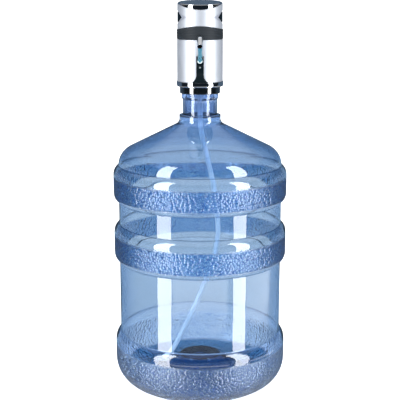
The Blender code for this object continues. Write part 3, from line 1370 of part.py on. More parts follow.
def side_switch(side, name):
    half = SWITCH_WIDTH / 2
    ends = sorted((side * SIDE_SWITCH_FACE, side * (SIDE_SWITCH_FACE - SIDE_SWITCH_DEPTH)))
    roof = PAD_HEIGHT + SIDE_SWITCH_MARGIN
    switch = box(name + "_switch", (ends[0], -half, SWITCH_BOTTOM), (ends[1], half, roof), "black_nylon")
    nub_ends = SIDE_SWITCH_FACE - SWITCH_NUB_HEIGHT, SIDE_SWITCH_FACE + SWITCH_NUB_HEIGHT
    place = (0, 0, PAD_HEIGHT)
    nub = rod("side_nub", SWITCH_NUB_RADIUS, *nub_ends, None, SCREW_SIDES, place, facing_side(side))
    combine(switch, nub, "UNION")


# Pump, motor and battery


def pump_head():
    """Valve block: water comes up from the fitting, leaves by the nipple at the front."""
    place = (PUMP_X, PUMP_Y, 0)
    head = rod("pump_head", HEAD_RADIUS, FLOOR, HEAD_TOP, "black_nylon", INNER_SIDES, place)
    x, y = nipple_place()
    half = OUTLET_BLOCK_WIDTH / 2
    block = box("outlet_block", (x - half, y - half, FLOOR), (x + half, PUMP_Y, HEAD_TOP))
    combine(head, block, "UNION")
    low = HEAD_TOP - NIPPLE_LENGTH
    nipple = rod("nipple", NIPPLE_RADIUS, low, HEAD_TOP + NIPPLE_LENGTH, None, SMALL_SIDES, (x, y, 0))
    combine(head, nipple, "UNION")
    middle = (FLOOR + HEAD_TOP) / 2
    above = HEAD_TOP + NIPPLE_LENGTH + OVERRUN
    inlet_top = FLOOR + HEAD_INLET_DEPTH
    ducts = rod("outlet_duct", DUCT_RADIUS, middle, above, None, SCREW_SIDES, (x, y, 0))
    combine(head, ducts)
    combine(head, rod("valve_duct", DUCT_RADIUS, middle, above, None, SCREW_SIDES, place))
    cross_place = (PUMP_X, PUMP_Y, middle + DUCT_RADIUS + GAP)
    cross = rod("cross_duct", DUCT_RADIUS - GAP, 0, OUTLET_OFFSET, None, SCREW_SIDES, cross_place, FACING_FRONT)
    combine(head, cross)
    combine(head, rod("inlet_hole", BARB_HOLE_RADIUS, FRAME_BOTTOM, inlet_top, None, SMALL_SIDES))
    combine(head, rod("inlet_duct", DUCT_RADIUS, middle - DUCT_RADIUS, above, None, SCREW_SIDES))


def pump_diaphragm():
    low = DIAPHRAGM_BOTTOM
    high = low + DIAPHRAGM_THICKNESS
    dish = DIAPHRAGM_THICKNESS / 2
    outline = [
        (0, high - dish),
        (DIAPHRAGM_DISH_RADIUS - dish, high - dish),
        (DIAPHRAGM_DISH_RADIUS, high),
        (HEAD_RADIUS, high),
        (HEAD_RADIUS, low),
        (0, low),
    ]
    turned("pump_diaphragm", outline, "white_silicone", INNER_SIDES, (PUMP_X, PUMP_Y, 0))


def pump_housing():
    inner = HEAD_RADIUS - HOUSING_WALL
    high = HOUSING_BOTTOM + HOUSING_HEIGHT
    place = (PUMP_X, PUMP_Y, 0)
    sleeve("pump_housing", inner, HEAD_RADIUS, HOUSING_BOTTOM, high, "black_nylon", INNER_SIDES, place)


def pump_cam():
    low = HOUSING_BOTTOM + CAM_LIFT
    outline = arc((CAM_OFFSET, 0), CAM_RADIUS, 0, 345, 23)
    frame_here = Matrix.Translation((PUMP_X, PUMP_Y, 0))
    cam = plate("pump_cam", outline, low, low + CAM_HEIGHT, "brass", frame_here)
    hole_radius = SHAFT_RADIUS + GAP
    place = (PUMP_X, PUMP_Y, 0)
    combine(cam, rod("cam_hole", hole_radius, low - OVERRUN, MOTOR_BOTTOM, None, SCREW_SIDES, place))


def motor_can():
    inner = MOTOR_RADIUS - MOTOR_WALL
    bearing = SHAFT_RADIUS + BEARING_CLEARANCE
    outline = [
        (MOTOR_RADIUS, MOTOR_TOP),
        (MOTOR_RADIUS, MOTOR_BOTTOM),
        (inner, MOTOR_BOTTOM),
        (inner, MOTOR_TOP - MOTOR_WALL),
        (bearing, MOTOR_TOP - MOTOR_WALL),
        (bearing, MOTOR_TOP),
    ]
    turned("motor_can", outline, "bright_steel", INNER_SIDES, (PUMP_X, PUMP_Y, 0))


def motor_end_cap():
    bearing = SHAFT_RADIUS + BEARING_CLEARANCE
    outer = MOTOR_RADIUS - MOTOR_WALL - GAP
    high = MOTOR_BOTTOM + MOTOR_CAP_HEIGHT
    place = (PUMP_X, PUMP_Y, 0)
    sleeve("motor_end_cap", bearing, outer, MOTOR_BOTTOM, high, "black_nylon", INNER_SIDES, place)


def motor_rotor():
    low = MOTOR_BOTTOM + ROTOR_END_CLEARANCE
    high = MOTOR_TOP - ROTOR_END_CLEARANCE
    outline = [
        (0, MOTOR_TOP),
        (SHAFT_RADIUS, MOTOR_TOP),
        (SHAFT_RADIUS, high),
        (ROTOR_RADIUS, high),
        (ROTOR_RADIUS, low),
        (SHAFT_RADIUS, low),
        (SHAFT_RADIUS, HOUSING_BOTTOM + CAM_LIFT),
        (0, HOUSING_BOTTOM + CAM_LIFT),
    ]
    turned("motor_rotor", outline, "bright_steel", SMALL_SIDES, (PUMP_X, PUMP_Y, 0))


def battery():
    place = (CELL_X, CELL_Y, 0)
    outer = CELL_RADIUS + GAP + HOLDER_WALL
    top = FLOOR + HOLDER_HEIGHT
    inside = LOW_CONTACT_BOTTOM - GAP
    outline = [(outer, top), (outer, FLOOR), (0, FLOOR), (0, inside)]
    outline += [(outer - HOLDER_WALL, inside), (outer - HOLDER_WALL, top)]
    turned("battery_holder", outline, "black_nylon", INNER_SIDES, place)
    for name, low in (("lower_contact", LOW_CONTACT_BOTTOM), ("upper_contact", HIGH_CONTACT_BOTTOM)):
        rod(name, CONTACT_RADIUS, low, low + CONTACT_THICKNESS, "brass", SMALL_SIDES, place)
    step = CELL_TOP - CELL_TERMINAL_HEIGHT
    outline = [
        (0, CELL_TOP),
        (CELL_TERMINAL_RADIUS, CELL_TOP),
        (CELL_TERMINAL_RADIUS, step),
        (CELL_RADIUS, step),
        (CELL_RADIUS, CELL_BOTTOM),
        (0, CELL_BOTTOM),
    ]
    turned("battery_cell", outline, "cell_wrap", INNER_SIDES, place)


# Inlet


def inlet_fitting():
    spigot_top = FLOOR + HEAD_INLET_DEPTH - GAP
    flange_top = COLLAR_TOP
    flange_bottom = COLLAR_TOP - COLLAR_SINK_DEPTH + GAP
    socket_top = FITTING_BOTTOM + FITTING_SOCKET_HEIGHT
    outline = [
        (FITTING_SPIGOT_RADIUS, spigot_top),
        (FITTING_SPIGOT_RADIUS, flange_top),
        (FITTING_FLANGE_RADIUS, flange_top),
        (FITTING_FLANGE_RADIUS, flange_bottom),
        (FITTING_STEM_RADIUS, flange_bottom),
        (FITTING_STEM_RADIUS, socket_top),
        (FITTING_SOCKET_RADIUS, socket_top),
        (FITTING_SOCKET_RADIUS, FITTING_BOTTOM),
        (FITTING_BORE_RADIUS, FITTING_BOTTOM),
        (FITTING_BORE_RADIUS, spigot_top),
    ]
    turned("inlet_fitting", outline, "white_silicone", SMALL_SIDES)


def intake_tube():
    tube("intake_tube", smooth_route(TUBE_ROUTE, TUBE_POINT_SPACING), TUBE_RADIUS, "clear_silicone", 2)


def main():
    clear_scene()
    make_collection(OBJECT_NAME)
    make_collection("cutters")
    make_looks()
    water_bottle()
    neck_gasket()
    neck_collar()
    base_ring()
    lower_shell()
    upper_shell()
    grip_band()
    top_rim()
    top_button()
    button_spring()
    bored_pipe("spout", spout_line(), SPOUT_RADIUS, SPOUT_BORE_RADIUS, "chrome", 4)
    spout_nut()
    outlet_elbow()
    push_lever()
    lever_pin()
    lever_spring()
    front_spine()
    status_light()
    front_board()
    lever_switch()
    charging_port()
    rear_board()
    port_cover()
    frame()
    deck()
    control_board()
    screws()
    top_switch()
    for side, name in ((-1, "left"), (1, "right")):
        side_button(side, name)
        side_spring(side, name)
        side_switch(side, name)
    pump_head()
    pump_diaphragm()
    pump_housing()
    pump_cam()
    motor_can()
    motor_end_cap()
    motor_rotor()
    battery()
    inlet_fitting()
    intake_tube()


main()
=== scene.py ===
import json
import math

import bmesh
import bpy
from bpy.props import FloatProperty, FloatVectorProperty, IntProperty, PointerProperty, StringProperty
from mathutils import Matrix, Vector

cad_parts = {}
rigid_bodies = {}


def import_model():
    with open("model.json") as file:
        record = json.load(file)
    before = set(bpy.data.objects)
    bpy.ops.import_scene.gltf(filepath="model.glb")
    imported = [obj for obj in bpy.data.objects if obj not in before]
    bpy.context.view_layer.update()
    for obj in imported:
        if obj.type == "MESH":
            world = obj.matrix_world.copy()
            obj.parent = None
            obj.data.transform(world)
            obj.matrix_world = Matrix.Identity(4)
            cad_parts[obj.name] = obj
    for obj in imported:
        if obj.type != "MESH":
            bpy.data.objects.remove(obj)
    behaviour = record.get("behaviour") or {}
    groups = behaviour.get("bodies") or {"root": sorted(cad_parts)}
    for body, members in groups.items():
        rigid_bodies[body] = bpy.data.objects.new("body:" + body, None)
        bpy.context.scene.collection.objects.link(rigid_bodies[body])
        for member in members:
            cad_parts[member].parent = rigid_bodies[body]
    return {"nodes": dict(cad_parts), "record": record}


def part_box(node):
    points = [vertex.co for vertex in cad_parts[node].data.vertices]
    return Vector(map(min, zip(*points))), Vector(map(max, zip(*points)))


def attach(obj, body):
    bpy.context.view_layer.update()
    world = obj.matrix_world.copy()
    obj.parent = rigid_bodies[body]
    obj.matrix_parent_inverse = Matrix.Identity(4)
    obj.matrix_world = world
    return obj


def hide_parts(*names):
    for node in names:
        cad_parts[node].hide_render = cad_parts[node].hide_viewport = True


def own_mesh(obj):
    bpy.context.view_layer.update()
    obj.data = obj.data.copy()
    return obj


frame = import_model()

bl_info = {
    "name": "Bottled water pump",
    "version": (1, 0, 0),
    "blender": (4, 5, 0),
    "location": "3D View > Sidebar > Water Pump",
    "description": "Dresses a bottled water pump's frame with finished pieces, materials and a studio",
    "category": "Object",
}

# The startup objects aren't part of the frame
for stray in list(bpy.context.scene.objects):
    if stray.name in ("Cube", "Light", "Camera") and stray not in frame["nodes"].values():
        bpy.data.objects.remove(stray, do_unlink=True)
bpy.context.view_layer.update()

MM = 0.001
# Corners closer than this are one
WELD = 1e-7

# Bottle, metres
WALL = 0.128
BAND = 0.136
SKIN = 0.0016
FOOT = 0.096
FOOT_ROUND = 0.043
RING_FULL_TOP = 0.069
RING_TOP = 0.088
MIDDLE_BAND = (0.204, 0.264)
UPPER_BAND = (0.299, 0.356)
FLARE = 0.016
# The bands' edges, whose creases get painted shade, and how near the next ring of wall points lies
CREASES = (*UPPER_BAND, *MIDDLE_BAND, RING_TOP)
CREASE = 0.0009
SHOULDER_ROUND = 0.030
SHOULDER_SLOPE = math.radians(26.5)
MOUTH = 0.4870
BORE = 0.0235
BORE_FOOT = 0.0345

# Rings of faces along each flare of a band
BAND_STEPS = 9

# Where the bottle's tint changes, metres
NECK_TINT_FROM = 0.4300
FLANGE_TINT_FROM = 0.4195
SHOULDER_TINT_RISE = 0.0100
BASE_TINT_TOP, BASE_TINT_REACH = 0.0450, 0.0900
BASE_TINT_TOP_INSIDE, BASE_TINT_REACH_INSIDE = 0.0200, 0.1150
BAND_TINT_FROM = 0.1500

# Pump, metres
SHELL = 0.0352
SHELL_INSIDE = 0.0332
UNDER_GRIP = 0.0342
GRIP = 0.0356
GRIP_BOTTOM = 0.5500
GRIP_SIDE_TOP = 0.5646
GRIP_ARCH = 0.0055
UPPER = 0.0347
UPPER_INSIDE = 0.0321
SHELL_JOINT = 0.5610
TOP = 0.6050
RIM_SIDE = 0.6033
RIM_DIP = 0.0090
SLANT = math.radians(6.2)
SPOUT_HEIGHT = 0.5528
LEVER_AXIS = (0.0, -0.0395, 0.5430)
LENS_HEIGHT = 0.5093
TAB_HEIGHT = 0.5225
PORT_HEIGHT = 0.5200
TOE_DROP, TOE_RADIUS = -0.0238, 0.0039
COVER_HINGE = (0.0, 0.0362, 0.5152)
PAD_HEIGHT = 0.5830
SPOUT_ROOT = 0.0293
# How far out from the axis the cutters and flat pieces start and end
PAD_DEPTHS = (0.0160, 0.0380)
SPINE_DEPTHS = (0.0200, 0.0420)
WALL_DEPTHS = (0.0300, 0.0370)
GAP = 0.0003

# Middle line of the intake tube, from the fitting down to the floor
TUBE_ROUTE = (
    (0.0000, 0.0000, 0.4757),
    (0.0000, 0.0000, 0.4600),
    (0.0002, 0.0004, 0.4400),
    (0.0009, 0.0010, 0.4210),
    (0.0027, 0.0018, 0.4040),
    (0.0071, 0.0026, 0.3840),
    (0.0131, 0.0033, 0.3590),
    (0.0190, 0.0038, 0.3320),
    (0.0235, 0.0042, 0.3060),
    (0.0266, 0.0045, 0.2810),
    (0.0286, 0.0046, 0.2570),
    (0.0286, 0.0046, 0.2370),
    (0.0265, 0.0045, 0.2190),
    (0.0208, 0.0043, 0.1990),
    (0.0142, 0.0040, 0.1805),
    (0.0066, 0.0036, 0.1590),
    (-0.0046, 0.0030, 0.1300),
    (-0.0186, 0.0022, 0.0990),
    (-0.0300, 0.0014, 0.0760),
    (-0.0398, 0.0006, 0.0570),
    (-0.0492, 0.0000, 0.0420),
    (-0.0590, -0.0004, 0.0305),
)

# Flat outlines are drawn across and up, and stand out towards the spout, the right or the back
FRONT = Matrix(((1, 0, 0, 0), (0, 0, -1, 0), (0, 1, 0, 0), (0, 0, 0, 1)))
RIGHT = Matrix(((0, 0, 1, 0), (1, 0, 0, 0), (0, 1, 0, 0), (0, 0, 0, 1)))
LEFT = Matrix.Rotation(math.pi, 4, "Z") @ RIGHT
BACK = Matrix.Rotation(math.pi, 4, "Z") @ FRONT


class BottleSettings(bpy.types.PropertyGroup):
    sides: IntProperty(name="Sides", description="Flats round the blown bottle", default=144, min=48)
    wall: StringProperty(name="Wall", description="Tint of the plain wall", default="#aebecd")
    shoulder: StringProperty(name="Shoulder", description="Tint of the shoulder", default="#9cb3cb")
    neck: StringProperty(name="Neck", description="Tint of the neck", default="#98abc6")
    band: StringProperty(name="Band", description="Tint of the pebbles on the two bands", default="#4e8ac4")
    ring: StringProperty(name="Ring", description="Tint of the pebbles on the foot ring", default="#e2f5ff")
    lining: StringProperty(name="Lining", description="Tint of the foot ring's inner face", default="#bcd0ea")
    base: StringProperty(name="Base", description="Tint of the thick pushed-up floor", default="#1c5288")
    # Painted shade: a darker tint for the creases at the bands' edges
    crease_shade: StringProperty(name="Crease", description="Tint of the creases along the bands", default="#4a6f9c")
    slanting: StringProperty(
        name="Slanting", description="Deepening where the wall is looked through at a slant", default="#94bee4"
    )
    haze: StringProperty(name="Haze", description="Tint of soft reflections on the pebbles", default="#a8ccf8")
    # Painted shade between the pebbles
    valley: StringProperty(name="Valley", description="Darkening between two pebbles", default="#2c66b8")
    pebble_size: FloatProperty(
        name="Pebble size", description="Width of one pebble on the bands", default=0.0040, unit="LENGTH"
    )
    pebble_height: FloatProperty(
        name="Pebble height", description="Height of one pebble", default=0.0014, unit="LENGTH"
    )


class PumpSettings(bpy.types.PropertyGroup):
    sides: IntProperty(name="Sides", description="Flats round the casing", default=128, min=48)
    edge: FloatProperty(
        name="Edge", description="Rounding of the moulded edges", default=0.0004, unit="LENGTH"
    )
    silver: StringProperty(name="Silver", description="Colour of the casing", default="#bcc2cb")
    grip: StringProperty(name="Grip", description="Colour of the rubber band", default="#2a3036")
    disc: StringProperty(name="Disc", description="Colour of the pressed disc", default="#47525f")
    lever: StringProperty(name="Lever", description="Colour of the push lever", default="#5f98ae")


class StudioSettings(bpy.types.PropertyGroup):
    camera: FloatVectorProperty(
        name="Camera", description="Place of the camera", default=(0.0, -1.516, 0.630), unit="LENGTH"
    )
    pitch: FloatProperty(
        name="Pitch", description="Tilt up from straight down", default=math.radians(77.64), unit="ROTATION"
    )
    lens: FloatProperty(name="Lens", description="Focal length in millimetres", default=88.2)
    softbox: FloatProperty(name="Softbox", description="Radiance of the tall softboxes", default=10.5)
    room: FloatProperty(name="Room", description="Brightness that matt surfaces see", default=1.16)
    flag: FloatProperty(name="Flag", description="Brightness of the dark front in reflections", default=0.02)
    sweep: FloatProperty(name="Sweep", description="Brightness behind the object in reflections", default=0.20)
    ceiling: FloatProperty(name="Ceiling", description="Brightness overhead in reflections", default=0.72)
    shade: StringProperty(name="Shade", description="Colour of the unlit room", default="#b4d8ff")
    card: FloatProperty(name="Cards", description="Brightness of the two low cards in reflections", default=2.2)
    table: FloatProperty(name="Table", description="Brightness straight below in reflections", default=0.6)
    dusk: FloatProperty(name="Dusk", description="Brightness overhead seen through the bottle", default=0.3)
    inside: FloatProperty(
        name="Inside", description="Brightness that matt surfaces in the bottle see", default=6.0
    )


def settings():
    return bpy.context.scene.water_pump_bottle, bpy.context.scene.water_pump_pump


# Materials


SMOOTH = {"interpolation_type": "SMOOTHSTEP"}
TIMES = {"operation": "MULTIPLY"}
COLOURS = {"data_type": "RGBA"}
TINTED = {"data_type": "RGBA", "blend_type": "MULTIPLY"}


def linear(hex_colour):
    """An sRGB hex colour in linear light."""
    channels = [int(hex_colour[i : i + 2], 16) / 255 for i in (1, 3, 5)]
    curved = [c / 12.92 if c <= 0.04045 else ((c + 0.055) / 1.055) ** 2.4 for c in channels]
    return (*curved, 1.0)


def grain(size_mm):
    """Texture scale that gives cells or waves of that many millimetres."""
    return 1000 / size_mm


def add(tree, kind, links=None, **set_to):
    """Adds a node with its settings; links are nodes, sockets or plain values for its inputs."""
    node = tree.nodes.new(kind)
    for name, value in set_to.items():
        setattr(node, name, value)
    for name, value in (links or {}).items():
        if isinstance(value, bpy.types.Node):
            value = value.outputs[0]
        if isinstance(value, bpy.types.NodeSocket):
            tree.links.new(value, node.inputs[name])
        else:
            node.inputs[name].default_value = value
    return node


def blank(name):
    """A material without nodes, its tree, and the place on the object that its patterns follow."""
    material = bpy.data.materials.new(name)
    material.use_nodes = True
    tree = material.node_tree
    tree.nodes.clear()
    return material, tree, add(tree, "ShaderNodeTexCoord").outputs["Object"]


def blown_polycarbonate():
    """Blown polycarbonate: clear, deeper where the wall is thick, rolling a little, pebbled on the bands."""
    bottle, _ = settings()
    material, tree, place = blank("blown_blue_polycarbonate")
    mask = add(tree, "ShaderNodeAttribute", attribute_name="pebbled").outputs["Fac"]
    tint = add(tree, "ShaderNodeAttribute", attribute_name="tint").outputs
    # Real pebbles are too fine for the render, so these are coarser: a blue line of painted shade round each,
    # and a dome on it
    sockets = {"Vector": place, "Scale": grain(bottle.pebble_size / MM)}
    cells = add(tree, "ShaderNodeTexVoronoi", sockets, feature="DISTANCE_TO_EDGE")
    centres = add(tree, "ShaderNodeTexVoronoi", sockets, feature="F1")
    dome = add(tree, "ShaderNodeMath", {0: centres, 1: centres}, **TIMES)
    height = add(tree, "ShaderNodeMath", {0: dome, 1: mask}, **TIMES)
    line = {"Value": cells, "From Max": 0.18, "To Min": 1.0, "To Max": 0.0}
    valley = add(tree, "ShaderNodeMapRange", line, **SMOOTH)
    pebbled = add(tree, "ShaderNodeMath", {0: valley, 1: mask}, **TIMES)
    shaded = add(tree, "ShaderNodeMath", {0: pebbled, 1: tint["Alpha"]}, **TIMES)
    tone = add(tree, "ShaderNodeMix", {0: shaded, 6: tint["Color"], 7: linear(bottle.valley)}, **TINTED)
    # The soft reflections on the pebbles are hazy blue, and the coat adds the white glints
    sheen = add(tree, "ShaderNodeMix", {0: mask, 6: linear("#ffffff"), 7: linear(bottle.haze)}, **COLOURS)
    # A wall looked through at a slant is deeper in colour, as more plastic lies in the way
    facing = add(tree, "ShaderNodeLayerWeight", {"Blend": 0.5}).outputs["Facing"]
    slant = add(tree, "ShaderNodeMapRange", {"Value": facing, "From Min": 0.35, "From Max": 0.90}, **SMOOTH)
    deeper = {0: slant, 6: tone.outputs[2], 7: linear(bottle.slanting)}
    deepened = add(tree, "ShaderNodeMix", deeper, **TINTED)
    gloss = add(tree, "ShaderNodeMapRange", {"Value": mask, "From Max": 0.4, "To Min": 0.02, "To Max": 0.29})
    relief = {"Height": height, "Strength": 1.0, "Distance": bottle.pebble_height}
    pebbles = add(tree, "ShaderNodeBump", relief, invert=True)
    roll = add(tree, "ShaderNodeTexNoise", {"Vector": place, "Scale": grain(55), "Detail": 1.0})
    waves = {"Height": roll, "Strength": 1.0, "Distance": 0.0004, "Normal": pebbles}
    rolling = add(tree, "ShaderNodeBump", waves)
    glass = {
        "Base Color": deepened.outputs[2],
        "Roughness": gloss,
        "IOR": 1.585,
        "Transmission Weight": 1.0,
        "Specular Tint": sheen.outputs[2],
        "Coat Weight": mask,
        "Coat Roughness": 0.12,
        "Coat IOR": 1.55,
        "Normal": rolling,
        "Coat Normal": rolling,
    }
    shader = add(tree, "ShaderNodeBsdfPrincipled", glass)
    depth = add(tree, "ShaderNodeVolumeAbsorption", {"Color": linear("#009ddf"), "Density": 45.0})
    add(tree, "ShaderNodeOutputMaterial", {"Surface": shader, "Volume": depth})
    return material


def bright_steel():
    """Nickel-plated steel: bright with fine drawing marks."""
    material, tree, place = blank("nickel_plated_steel")
    stretch = add(tree, "ShaderNodeMapping", {"Vector": place, "Scale": (1.0, 1.0, 0.08)})
    marks = add(tree, "ShaderNodeTexNoise", {"Vector": stretch, "Scale": grain(0.2), "Detail": 3.0})
    gloss = add(tree, "ShaderNodeMapRange", {"Value": marks, "To Min": 0.16, "To Max": 0.34})
    bump = add(tree, "ShaderNodeBump", {"Height": marks, "Distance": 4e-6})
    tone = add(tree, "ShaderNodeMix", {0: marks, 6: linear("#bfc2c6"), 7: linear("#d4d6d9")}, **COLOURS)
    metal = {"Base Color": tone.outputs[2], "Metallic": 1.0, "Roughness": gloss, "Normal": bump}
    add(tree, "ShaderNodeOutputMaterial", {"Surface": add(tree, "ShaderNodeBsdfPrincipled", metal)})
    return material


def green_laminate():
    """Glass-epoxy board under green solder mask: satin with copper tracks showing as paler lines."""
    material, tree, place = blank("solder_masked_laminate")
    pattern = {
        "Vector": place,
        "Scale": grain(1.0),
        "Color1": linear("#1c6a3c"),
        "Color2": linear("#1a6338"),
        "Mortar": linear("#3f9a62"),
        "Mortar Size": 0.12,
        "Brick Width": 3.0,
        "Row Height": 1.1,
    }
    tracks = add(tree, "ShaderNodeTexBrick", pattern)
    bump = add(tree, "ShaderNodeBump", {"Height": tracks.outputs["Fac"], "Distance": 2.5e-5})
    board = {"Base Color": tracks.outputs["Color"], "Roughness": 0.34, "IOR": 1.55, "Normal": bump}
    add(tree, "ShaderNodeOutputMaterial", {"Surface": add(tree, "ShaderNodeBsdfPrincipled", board)})
    return material


# Each row: name, colour or the pump setting that holds it, roughness, width of the skin's grain in millimetres,
# its relief in metres, how cloudy the colour is, and the shader's other sockets
MOULDED = {
    # Vacuum-metallised ABS under satin lacquer: bright, with a soft spread to every reflection
    "satin_silver": ("satin_metallised_abs", "silver", 0.52, 0.6, 4e-6, 0.02, {"Metallic": 0.72}),
    # The same, unlacquered in the scoops, with closer reflections; its darker colour is painted shade in the
    # scoops' hollows
    "scoop_shade_silver": ("metallised_abs_scoop_shade", "#aeb4c0", 0.45, 1.2, 3e-6, 0.02, {"Metallic": 0.6}),
    # Chromium-plated ABS: near-mirror, with the faint orange peel of plated plastic
    "chrome": ("chromed_abs", "#e4e7ea", 0.06, 2.5, 3e-6, 0.01, {"Metallic": 1.0}),
    # Black ABS under a hard clear lacquer: deep, with strong sharp reflections
    "gloss_black": (
        *("lacquered_black_abs", "#0c1115", 0.10, 1.5, 2e-6, 0.1),
        {"IOR": 1.54, "Coat Weight": 1.0, "Coat Roughness": 0.03, "Coat IOR": 1.9},
    ),
    # Polished black ABS without lacquer: near black, with dimmer reflections
    "polished_black": (
        *("polished_black_abs", "#0b161c", 0.12, 0.8, 2e-6, 0.1),
        {"IOR": 1.45, "Specular IOR Level": 0.1},
    ),
    # Bare black ABS inside the spout, where plating doesn't reach: dull, and dark as painted shade down the
    # bore
    "bore_shade_black": ("bore_shade_black_abs", "#08090a", 0.6, 0.8, 4e-6, 0.1, {"IOR": 1.3}),
    # Moulded black silicone: matt, with a dusty bloom
    "black_silicone": (
        *("moulded_black_silicone", "grip", 0.50, 0.35, 1.5e-5, 0.12),
        {"IOR": 1.41, "Specular IOR Level": 0.15},
    ),
    # Smoked acrylic disc: dark blue-grey with a glassy top
    "smoked_disc": (
        *("smoked_acrylic", "disc", 0.12, 3.0, 1e-6, 0.06),
        {"IOR": 1.49, "Coat Weight": 0.5, "Coat Roughness": 0.03},
    ),
    # Tinted clear SAN lever: lets some light through and glows at its edges
    "teal_plastic": ("tinted_san", "lever", 0.10, 3.0, 1e-6, 0.05, {"IOR": 1.57, "Transmission Weight": 0.45}),
    # Frosted lip of the lever's toe: its pale colour is a painted highlight along the edge
    "frosted_lip_highlight": ("frosted_san_highlight", "#dff1f5", 0.30, 1.0, 4e-6, 0.02, {"IOR": 1.57, "Transmission Weight": 0.2}),
    # Extruded food-grade silicone: milky clear
    "clear_silicone": (
        *("extruded_clear_silicone", "#f4f8fc", 0.22, 1.2, 6e-6, 0.03),
        {"IOR": 1.41, "Transmission Weight": 0.12},
    ),
    # Moulded white silicone: satin and faintly yielding to light
    "white_silicone": (
        *("moulded_white_silicone", "#e3e4e5", 0.45, 0.5, 8e-6, 0.03),
        {"IOR": 1.41, "Subsurface Weight": 0.2, "Subsurface Scale": 0.001},
    ),
    # Glass-filled nylon: matt black with the frosted drift of short fibres
    "black_nylon": ("glass_filled_nylon", "#25272a", 0.48, 0.25, 1.2e-5, 0.18, {"IOR": 1.53}),
    # Turned brass: warm, with fine lathe rings
    "brass": ("turned_brass", "#dcbf7c", 0.26, 0.3, 5e-6, 0.06, {"Metallic": 1.0}),
    # PVC shrink sleeve on the cell: satin blue with slight ripples
    "cell_wrap": (
        *("pvc_shrink_sleeve", "#2f62a6", 0.30, 4.0, 4e-5, 0.06),
        {"IOR": 1.53, "Coat Weight": 0.3, "Coat Roughness": 0.03},
    ),
    # Moulded clear acrylic: a bright bead
    "clear_lens": (
        *("moulded_clear_acrylic", "#dfeef5", 0.05, 2.0, 1e-6, 0.02),
        {"IOR": 1.49, "Transmission Weight": 0.6},
    ),
    # Opal acrylic light table: almost white, lit faintly from below, with a trace of grain
    "pale_floor": (
        *("opal_acrylic_table", "#f6f6f6", 0.9, 2.0, 2e-5, 0.002),
        {"IOR": 1.3, "Emission Color": linear("#ffffff"), "Emission Strength": 0.85},
    ),
}


def moulded(slot):
    """A moulded or plated surface: slight cloudiness in colour and gloss, and a fine skin texture."""
    name, colour, roughness, grain_mm, relief, spread, more = MOULDED[slot]
    colour = linear(colour if colour.startswith("#") else getattr(settings()[1], colour))
    material, tree, place = blank(name)
    cloud = add(tree, "ShaderNodeTexNoise", {"Vector": place, "Scale": grain(18), "Detail": 4.0})
    dark = tuple(c * (1 - spread * 2) for c in colour[:3]) + (1.0,)
    tone = add(tree, "ShaderNodeMix", {0: cloud, 6: dark, 7: colour}, **COLOURS)
    spread_gloss = {"Value": cloud, "To Min": roughness * 0.85, "To Max": roughness * 1.15}
    gloss = add(tree, "ShaderNodeMapRange", spread_gloss)
    skin = add(tree, "ShaderNodeTexNoise", {"Vector": place, "Scale": grain(grain_mm), "Detail": 3.0})
    bump = add(tree, "ShaderNodeBump", {"Height": skin, "Strength": 1.0, "Distance": relief})
    sockets = {"Base Color": tone.outputs[2], "Roughness": gloss, "Normal": bump, **more}
    add(tree, "ShaderNodeOutputMaterial", {"Surface": add(tree, "ShaderNodeBsdfPrincipled", sockets)})
    return material


PATTERNED = {
    "blue_polycarbonate": blown_polycarbonate,
    "bright_steel": bright_steel,
    "green_laminate": green_laminate,
}
FINISHES = {}


def finish(slot):
    """The material for one of the record's slots or of the looks above, made once."""
    if slot not in FINISHES:
        FINISHES[slot] = PATTERNED[slot]() if slot in PATTERNED else moulded(slot)
    return FINISHES[slot]


# Shapes


def object_from(name, data):
    obj = bpy.data.objects.new(name, data)
    bpy.context.scene.collection.objects.link(obj)
    return obj


def shape_from(name, work, place=None):
    """An object with the work mesh, its faces turned outwards."""
    bmesh.ops.recalc_face_normals(work, faces=work.faces)
    if place is not None:
        work.transform(place)
    mesh = bpy.data.meshes.new(name)
    work.to_mesh(mesh)
    work.free()
    return object_from(name, mesh)


def ring(work, outline, angle):
    """The (radius, height) points of an outline as vertices at an angle from the front."""
    return [work.verts.new((r * math.sin(angle), -r * math.cos(angle), z)) for r, z in outline]


def skin_over(work, pairs):
    """Faces between each pair of rings."""
    for row, following in pairs:
        for i in range(len(row)):
            j = (i + 1) % len(row)
            work.faces.new((row[i], row[j], following[j], following[i]))


def weld(work):
    bmesh.ops.remove_doubles(work, verts=work.verts, dist=WELD)
    bmesh.ops.dissolve_degenerate(work, edges=work.edges, dist=WELD)


def rounded(outline, radius, steps=3, sharp=()):
    """A closed outline with its corners rounded, apart from the numbered ones left sharp."""
    points = []
    count = len(outline)
    for i, corner in enumerate(outline):
        corner = Vector(corner)
        before = Vector(outline[i - 1]) - corner
        after = Vector(outline[(i + 1) % count]) - corner
        size = radius[i] if isinstance(radius, (list, tuple)) else radius
        reach = min(size, before.length * 0.45, after.length * 0.45)
        if i in sharp or reach <= 0:
            points.append(tuple(corner))
            continue
        start = corner + before.normalized() * reach
        end = corner + after.normalized() * reach
        for step in range(steps + 1):
            t = step / steps
            points.append(tuple(start * (1 - t) ** 2 + corner * 2 * t * (1 - t) + end * t**2))
    return points


def revolved(name, outline_at, sides, place=None):
    """A closed outline carried round Z; outline_at gives its points, or a function of the angle does."""
    work = bmesh.new()
    angles = [math.tau * side / sides for side in range(sides)]
    rows = [ring(work, outline_at(a) if callable(outline_at) else outline_at, a) for a in angles]
    skin_over(work, zip(rows, rows[1:] + rows[:1]))
    weld(work)
    return shape_from(name, work, place)


def prism(name, outline, low, high, place):
    """A flat outline given thickness from low to high."""
    work = bmesh.new()
    bottom = [work.verts.new((u, v, low)) for u, v in outline]
    top = [work.verts.new((u, v, high)) for u, v in outline]
    work.faces.new(bottom[::-1])
    work.faces.new(top)
    skin_over(work, [(bottom, top)])
    return shape_from(name, work, place)


